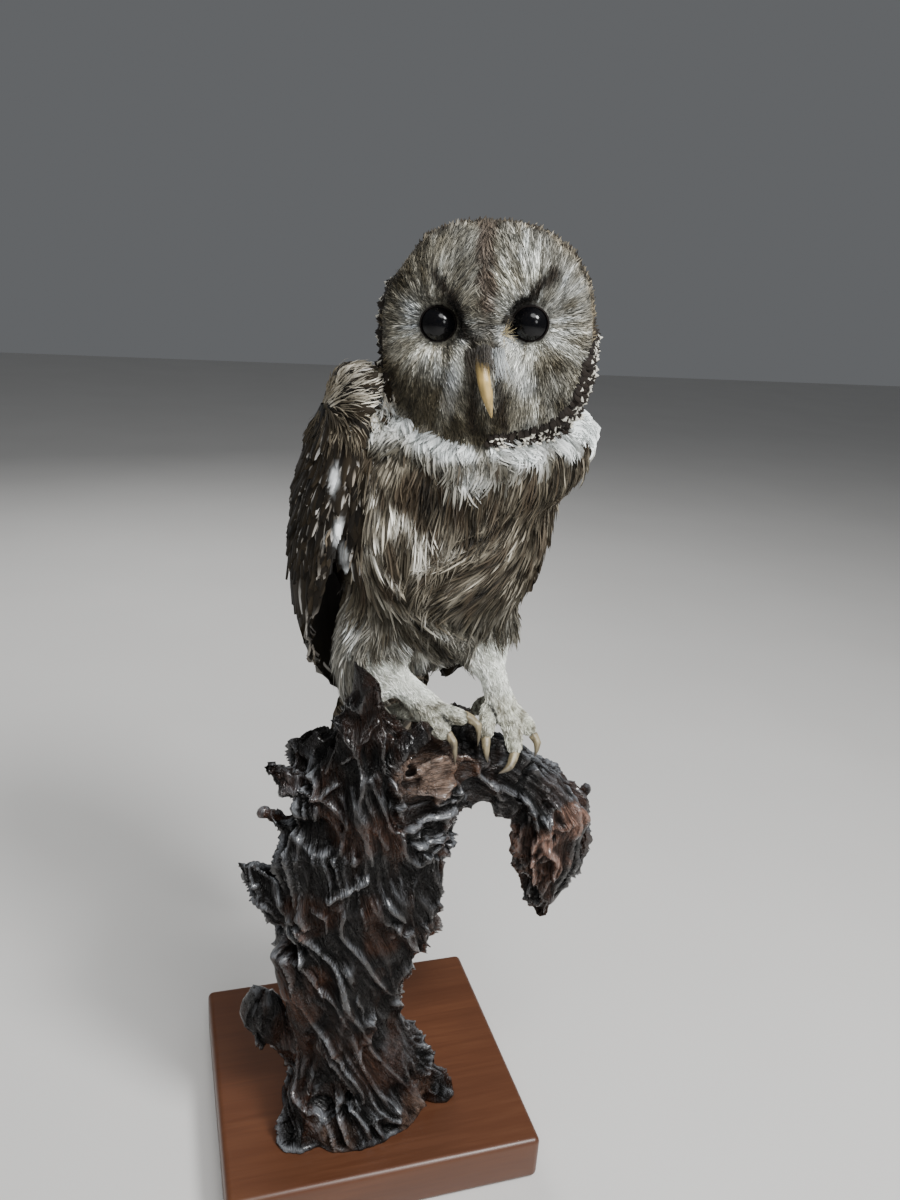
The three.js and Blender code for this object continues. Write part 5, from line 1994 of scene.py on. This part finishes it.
@dataclass
class RootWood:
    """The gnarled, lacquered root: flutes and hollows cut into the solid's own shape.

    Each row of strokes, and of hollows and calm, holds the fields of a Stroke and a Hollow; one of stains holds its
    place (x, z), reach, colour and strength. A calm hollow doesn't sink the wood but keeps its flutes low.
    """

    voxel: float = 1.54
    seed: int = 40
    ridge: float = 6.2
    flute: float = 4.6
    fibre: float = 0.9
    lump: float = 4.6
    sunk: float = 6.6
    deepest: float = -12.0
    highest: float = 8.0
    peak: Limb = Limb(
        ((-20, -50, 346, 30, 16), (-18, -54, 370, 27, 15), (-19, -56, 389, 15.5, 12.5), (-20.5, -57, 402, 9.5, 9)),
        ((-25.5, -57, 411, 5, 6), (-29, -57, 418, 2.6, 3), (-30, -57, 423, 1.6, 2)),
    )
    shoulder: Limb = Limb(
        ((-10, -58, 356, 13, 9), (3, -62, 366, 9.5, 8), (13, -64, 370, 6, 5.5)),
        ((20, -64, 372, 3, 3), (25, -64, 373, 1.2, 1.4)),
    )
    limbs: tuple = (
        ((-8, -33, 20), (-16, -33, 120), (-26, -33, 220), (-14, -34, 300), (-8, -36, 360)),
        (
            *((12, -38, 322), (44, -37, 332), (78, -37, 325), (105, -37, 308)),
            *((124, -37, 281), (130, -37, 240), (132, -37, 186)),
        ),
    )
    twists: tuple[float, ...] = (-0.009, 0.006)
    strokes: tuple = (
        (((-13, 380), (-21, 373), (-28, 361), (-38, 351)), 3.6, 2),
        (((-33, 390), (-42, 375), (-47, 353), (-49, 342)), 3, 1.8),
        (((-5, 372), (-7, 352), (-9, 339), (-3, 322), (3, 304), (9, 293)), -5.5, 2.6),
        (((-22, 342), (-13, 327), (-7, 310), (6, 294)), 3.2, 2),
        (((-26, 339), (-20, 323), (-15, 307), (-7, 291)), 3, 1.8),
        (((-32, 332), (-28, 317), (-22, 301), (-17, 281)), 3.4, 2),
        (((-37, 324), (-35, 312), (-31, 298), (-30, 280)), 2.8, 1.8),
        (((-53, 324), (-41, 314), (-35, 307), (-37, 294), (-43, 281)), 4, 2.2),
        (((-85, 301), (-71, 322), (-50, 325), (-43, 332)), 4.5, 2.6), (((13, 327), (26, 327), (47, 323)), 5, 2),
        (((2, 364), (-2, 349), (-2, 334), (6, 320)), 3.5, 2.4), (((10, 320), (25, 316), (42, 311)), -4, 1.8),
        (((-48, 252), (-33, 261), (-21, 270)), 5.5, 2.6), (((-4, 245), (7, 228), (1, 214)), 4, 3.4),
        (((-58, 240), (-50, 237), (-47, 226)), 3.5, 1.6), (((-31, 187), (-33, 165), (-35, 142), (-37, 124)), 6, 6.5),
        (((-22, 164), (-9, 130), (-20, 111)), 3.5, 2.4), (((13, 136), (31, 114), (45, 77), (39, 70)), 3.5, 3),
        (((-20, 79), (-8, 51), (-5, 38)), -5, 2.2), (((-57, 72), (-43, 68), (-34, 65), (-27, 81)), -4.5, 2),
        (((-54, 131), (-55, 102), (-60, 80)), -3.5, 2.2),
        (((101, 336), (95, 324), (94, 310), (95, 291), (98, 270), (100, 241)), -6, 2.4),
        (((70, 328), (81, 301), (92, 268), (87, 245), (86, 232)), 3.6, 3),
        (((101, 300), (98, 289), (98, 271), (99, 253), (107, 238), (117, 231)), 3.4, 2),
        (((101, 300), (112, 291), (117, 282), (117, 267), (110, 255), (105, 246)), 3.4, 2),
        (((112, 291), (122, 284), (130, 280), (135, 287), (135, 302), (134, 312)), 3.4, 2.2),
        (((117, 267), (126, 257), (132, 245), (129, 233)), 3.4, 2.2), (((102, 332), (113, 317), (126, 301)), 2.2, 1.5),
        (((112, 329), (122, 316), (130, 304)), 2.2, 1.5),
    )
    hollows: tuple = (
        (-56, 298, 12, 9, 1.5), (10, 338, 6.5, 5, 1.5), (25, 292, 6, 6), (-22, 357, 10, 3.5), (-71, 205, 9.5, 8, 1),
        (-26, 249, 12, 7), (106, 279, 4.6, 3.5, 1.2), (106, 258, 5, 3.5, 1.2), (121, 246, 6, 3.5, 1.2),
        (121, 274, 2.6, 2.5, 0.8), (113, 303, 3, 2.5), (104, 224, 7.5, 6), (22, 345, 19, -3), (-80, 84, 5, 4),
    )
    calm: tuple = (
        (-66, 145, 22, -0.8), (-66, 105, 22, -0.8), (22, 345, 17, -0.3), (17, 92, 20, -0.6),
    )
    stains: tuple = (
        (47, 340, 10, ORANGE, 1), (-41, 292, 5, ORANGE, 0.45), (20, 343, 25, TAN, 0.95), (5, 369, 15, RUSSET, 0.5),
        (-20, 385, 28, (0.006, 0.005, 0.005), 1), (8, 368, 12, (0.010, 0.009, 0.009), 1), (14, 312, 11, SLATE, 0.4),
        (-66, 155, 17, RUSSET, 1), (-65, 110, 17, RUSSET, 1), (-65, 84, 12, RUSSET, 0.8), (-8, 178, 7, ORANGE, 0.6),
        (-57, 222, 9, RUSSET, 1), (25, 46, 13, TAN, 0.7), (45, 58, 8, TAN, 0.7), (-35, 50, 14, TAN, 0.6),
        (-39, 79, 9, RUSSET, 0.8), (17, 92, 18, SLATE, 0.5), (-32, 149, 10, SLATE, 0.5), (114, 262, 27, ROSE, 1),
        (130, 286, 16, ROSE, 0.9), (112, 232, 14, ROSE, 0.7), (-71, 335, 14, SLATE, 0.6), (118, 312, 14, SLATE, 0.5),
    )

    def build(self) -> None:
        """Carves the wood and dresses it."""
        shells = [welded("root_wood"), self.peak.shell(), self.shoulder.shell()]
        surface = Surface(*remeshed("root_form", shells, self.voxel * MM))
        surface.points = surface.spread(surface.points, 2)
        at, normals = surface.points / MM, surface.normals()
        flow = self.follow(at)
        relief = self.carve(at, flow, normals)
        thin = 1 - 0.7 * smooth(392, 410, at[:, 2])
        relief *= smooth(39, 46, at[:, 2]) * self.clear_of_feet(at) * thin
        surface.points = surface.points + normals * relief[:, None] * MM
        made = mesh_object("root", surface.points, surface.faces)
        height = relief - surface.spread(relief, 12)[:, 0]
        give(made, "height", height)
        # Painted sheen: upward-facing crests below the top of the root get a lighter blue-grey that stands in for the
        # reflection of the lights above.
        crests = smooth(-0.4, 1.2, height)
        give(made, "bloom", smooth(0.0, 0.8, surface.normals()[:, 2]) * crests * smooth(352, 338, at[:, 2]))
        give(made, "flow", flow * MM)
        give(made, "stain", self.stained(at, normals, relief))
        finished(made, self.lacquer(), "lacquered_root", "root_wood")

    def follow(self, at: Array) -> Array:
        """Returns coordinates that run along the nearest limb.

        Args:
            at: the points, in millimetres.

        Returns:
            Two coordinates across the limb and one along it, in millimetres.
        """
        best, flow = np.full(len(at), 1e9), np.zeros_like(at)
        for path, twist in zip(self.limbs, self.twists):
            gone = 0.0
            for start, end in zip(path, path[1:]):
                a, b = np.array(start, float), np.array(end, float)
                long = np.linalg.norm(b - a)
                axis = (b - a) / long
                share = np.clip((at - a) @ axis, 0, long)
                off = at - a - share[:, None] * axis
                far = np.linalg.norm(off, axis=1)
                normal = np.cross(axis, (0, 1, 0))
                u, v, s = off @ normal, off[:, 1], gone + (at - a) @ axis
                cos, sin = np.cos(twist * s), np.sin(twist * s)
                own = rows(u * cos - v * sin, u * sin + v * cos, s)
                nearer = far < best
                flow[nearer], best[nearer] = own[nearer], far[nearer]
                gone += long
        return flow

    def carve(self, at: Array, flow: Array, normals: Array) -> Array:
        """Works out how far the wood stands out at each place.

        Args:
            at: the points, in millimetres.
            flow: the same along the limbs.
            normals: the directions out of the wood.

        Returns:
            The heights, in millimetres.
        """
        noises = [Noise(self.seed + k) for k in range(8)]
        warp = drift(noises[:3], flow, (22, 22, 34))
        bent = flow + warp * (8, 8, 9)
        ridge, flute, fine = (
            1 - np.clip(np.abs(noises[k](bent, scale)) * 2.6, 0, 1) ** 0.8
            for k, scale in ((3, (14, 14, 80)), (4, (6.5, 6.5, 75)), (5, (3.2, 3.2, 60)))
        )
        lumps = noises[6](at, 24)
        strong = np.clip(0.45 + 0.55 * ridge, 0.1, 1)
        relief = self.ridge * ridge + self.flute * flute * (0.4 + 0.6 * ridge) + self.fibre * fine * strong
        relief += self.lump * lumps - self.sunk
        front = smooth(0.45, -0.25, normals[:, 1])
        flat = at[:, [0, 2]] + drift(noises[5:7], at, 9) * 1.6
        marks = (*itertools.starmap(Stroke, self.strokes), *itertools.starmap(Hollow, self.hollows))
        quiet, drawn = (
            sum((mark.relief(flat) for mark in some), np.zeros(len(at)))
            for some in (itertools.starmap(Hollow, self.calm), marks)
        )
        relief *= 1 - np.clip(quiet, 0, 0.8) * front
        return np.clip(relief + drawn * front, self.deepest, self.highest)

    def clear_of_feet(self, at: Array) -> Array:
        """Returns 0 near the feet and the claws and 1 away from them, so that they still stand on the wood."""
        points, faces = joined([welded(node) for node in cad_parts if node.startswith(("foot", "claw"))])
        tree = BVHTree.FromPolygons(points.tolist(), faces.tolist())
        gap = np.array([tree.find_nearest(point, 0.02)[3] or 0.02 for point in (at * MM).tolist()])
        return smooth(0.001, 0.008, gap)

    def stained(self, at: Array, normals: Array, relief: Array) -> Array:
        """Works out the wood's stain at each place.

        Args:
            at: the points, in millimetres.
            normals: the directions out of the wood.
            relief: how far it stands out, in millimetres.

        Returns:
            The colours, with their strength as alpha.
        """
        noises = [Noise(self.seed + 20 + k) for k in range(3)]
        front = smooth(0.6, -0.1, normals[:, 1])
        flat = at[:, [0, 2]] + drift(noises[:2], at, 12) * 5
        patch = 0.5 + 0.5 * noises[2](at, (14, 14, 30))
        paint = Paint(tinted(len(at), RUSSET, 0.0))
        paint.ground[:, 3] = smooth(0.52, 0.8, patch) * 0.6 * smooth(352, 340, at[:, 2])
        # Painted shade: the stains weaken in the hollows of the relief, which stay dark.
        high = 0.35 + 0.65 * smooth(-3.5, 1.5, relief)
        for x, z, reach, colour, strength in self.stains:
            far = np.hypot(flat[:, 0] - x, flat[:, 1] - z) / reach
            paint.over(colour, strength * front * smooth(1.15, 0.7, far) * high)
        return paint.ground

    def lacquer(self) -> bpy.types.Material:
        """Writes the wood's finish."""
        recipe = Recipe("root_lacquer", Specular_IOR_Level=0.32, Coat_Roughness=0.06)
        height = recipe.attribute("height")["Fac"]
        stain = recipe.attribute("stain")
        flow = recipe.attribute("flow")["Vector"]

        def drawn(scale: float, long: float, detail: float = 3.0) -> Value:
            """Returns noise drawn out along the wood."""
            return recipe.noise(recipe.stretched(flow, 1.0, 1.0, long), scale, detail, 0.6, 0.4)

        fibre, lines = drawn(650.0, 0.14, 4.0), 1.0 - abs(drawn(800.0, 0.05) - 0.5) * 6.0
        crest = 1.0 - abs(drawn(280.0, 0.08) - 0.5) * 5.0
        blister = recipe.noise(recipe.place(), 260.0, 5.0, 0.6)
        # Painted shade: the wood falls to near black in the grooves of the relief and rises on its crests, and the
        # stains fade out in the grooves.
        dark = recipe.mix(height.ramp(-1.4, 1.6), (0.0008, 0.0007, 0.0006), (0.020, 0.0165, 0.015))
        tinted_wood = recipe.mix(stain["Alpha"] * height.ramp(-3.0, 0.5), dark, stain["Color"])
        streak = (fibre * 0.9 + blister * 0.5).ramp(0.55, 0.85)
        # Painted sheen: a blue-grey over the upward-facing crests, broken by the fibres.
        bloom = recipe.attribute("bloom")["Fac"] * (fibre * 0.7 + crest * 0.3).ramp(0.32, 0.6)
        bloom = bloom * (1.0 - stain["Alpha"] * 0.8)
        # The dark fibre streaks are grain; the darkening between the fine crests is painted shade.
        lined = recipe.mix(streak * 0.6 + crest.ramp(0.5, -0.2) * 0.4, tinted_wood, (0.0012, 0.0009, 0.0008))
        recipe.wear(
            Base_Color=recipe.mix(bloom, lined, (0.19, 0.20, 0.215)),
            Coat_Weight=height.ramp(0.1, 1.7),
            Roughness=blister.ramp(0.35, 0.7) * 0.14 + 0.13 + height.ramp(0.4, -1.6) * 0.3,
        )
        recipe.bump(crest * 0.9 + lines * 0.22 + fibre * 0.15 + blister * 0.35, 0.0022, 1.0)
        return recipe.material


@dataclass
class Plinth:
    """The stained wooden block, its edges rounded."""

    width: float = 236.0
    depth: float = 216.0
    height: float = 38.0
    round: float = 5.0

    def build(self) -> None:
        """Makes the block."""
        form = bmesh.new()
        bmesh.ops.create_cube(form, size=1.0)
        for vert in form.verts:
            vert.co = Vector((vert.co.x * self.width, vert.co.y * self.depth, (vert.co.z + 0.5) * self.height)) * MM
        mesh = bpy.data.meshes.new("plinth_block")
        form.to_mesh(mesh)
        form.free()
        made = in_scene(bpy.data.objects.new("plinth_block", mesh))
        soften = made.modifiers.new("round", "BEVEL")
        soften.width, soften.segments = self.round * MM, 6
        baked(made)
        rounded(made.data)
        finished(made, self.stain(), "plinth_wood", "plinth")

    def stain(self) -> bpy.types.Material:
        """Writes the plinth's finish."""
        recipe = Recipe("plinth_stain", Coat_Weight=0.12, Coat_Roughness=0.3)
        grain = recipe.noise(recipe.place(0.6, 9.0, 9.0), 22.0, 6.0, 0.6, 0.3)
        cloud = recipe.noise(recipe.place(), 9.0, 3.0)
        base = recipe.mix(grain.ramp(0.25, 0.8), (0.080, 0.028, 0.012), (0.112, 0.042, 0.018))
        clouded = recipe.mix(cloud.ramp(0.3, 0.8) * 0.5, base, (0.075, 0.029, 0.014))
        recipe.wear(Base_Color=clouded, Roughness=grain * 0.2 + 0.3)
        recipe.bump(grain, 0.0003, 0.4)
        return recipe.material


# ---- the studio
@dataclass
class Studio:
    """Camera, soft lights and a plain pale floor."""

    place: tuple[float, float, float] = (-0.1498, -0.6140, 0.6620)
    yaw: float = 17.954
    pitch: float = 18.930
    roll: float = -3.973
    focal: float = 961.05
    frame_side: float = 1200.0
    floor_reach: float = 6.0

    def camera(self) -> None:
        """Sets the camera."""
        yaw, pitch, roll = (math.radians(x) for x in (self.yaw, self.pitch, self.roll))
        ahead = Vector((math.sin(yaw) * math.cos(pitch), math.cos(yaw) * math.cos(pitch), -math.sin(pitch)))
        right = Vector((math.cos(yaw), -math.sin(yaw), 0.0))
        down = ahead.cross(right)
        right, down = math.cos(roll) * right + math.sin(roll) * down, math.cos(roll) * down - math.sin(roll) * right
        data = bpy.data.cameras.new("camera")
        data.sensor_fit, data.sensor_height = "VERTICAL", 36.0
        data.lens = 36.0 * self.focal / self.frame_side
        data.clip_start = 0.01
        made = in_scene(bpy.data.objects.new("camera", data))
        made.matrix_world = Matrix.Translation(self.place) @ Matrix((right, -down, -ahead)).transposed().to_4x4()
        bpy.context.scene.camera = made

    def light(self, name: str, place: tuple, size: float, power: float, shiny: bool = True) -> None:
        """Hangs one soft light that looks at the owl.

        Args:
            name: its name.
            place: where it hangs, in metres.
            size: how wide it is, in metres.
            power: its watts.
            shiny: whether it shows in glossy things.
        """
        data = bpy.data.lights.new(name, "AREA")
        data.shape, data.size, data.energy = "DISK", size, power
        made = in_scene(bpy.data.objects.new(name, data))
        made.location = place
        made.rotation_euler = (Vector((0.03, 0.0, 0.4)) - Vector(place)).to_track_quat("-Z", "Y").to_euler()
        made.visible_glossy = shiny

    def build(self) -> None:
        """Sets everything up."""
        self.camera()
        self.light("key", (0.75, -1.1, 1.7), 0.5, 42.0)
        self.light("top", (0.1, -1.0, 1.9), 0.9, 16.0)
        self.light("gleam", (0.5, -1.5, 1.0), 0.4, 4.0)
        self.light("fill", (-0.8, -2.3, 0.9), 2.4, 19.0, shiny=False)
        self.light("rim", (-0.3, 1.6, 1.6), 1.0, 22.0, shiny=False)
        world = bpy.data.worlds.new("studio")
        bpy.context.scene.world = world
        world.use_nodes = True
        sky = world.node_tree.nodes["Background"].inputs
        sky["Color"].default_value, sky["Strength"].default_value = (0.85, 0.88, 0.92, 1.0), 0.15
        corners = np.array([(-1, -1, 0), (1, -1, 0), (1, 1, 0), (-1, 1, 0)]) * self.floor_reach
        made = mesh_object("floor", corners, np.array([(0, 1, 2, 3)]))
        recipe = Recipe("floor_paint", Roughness=0.7)
        tone = recipe.noise(recipe.place(), 3.0, 2.0)
        recipe.wear(Base_Color=recipe.mix(tone, (0.62, 0.61, 0.59), (0.68, 0.67, 0.65)))
        made.data.materials.append(recipe.material)


def main() -> None:
    """Builds the studio, the stand and the owl."""
    logging.basicConfig(level=logging.INFO, format="%(message)s", stream=sys.stdout)
    for label, piece in (
        ("studio", Studio()),
        ("plinth", Plinth()),
        ("root wood", RootWood()),
        ("owl", Owl()),
        ("eyes, bill and claws", Features()),
    ):
        piece.build()
        LOG.info("built: %s", label)


if __name__ == "__main__":
    main()
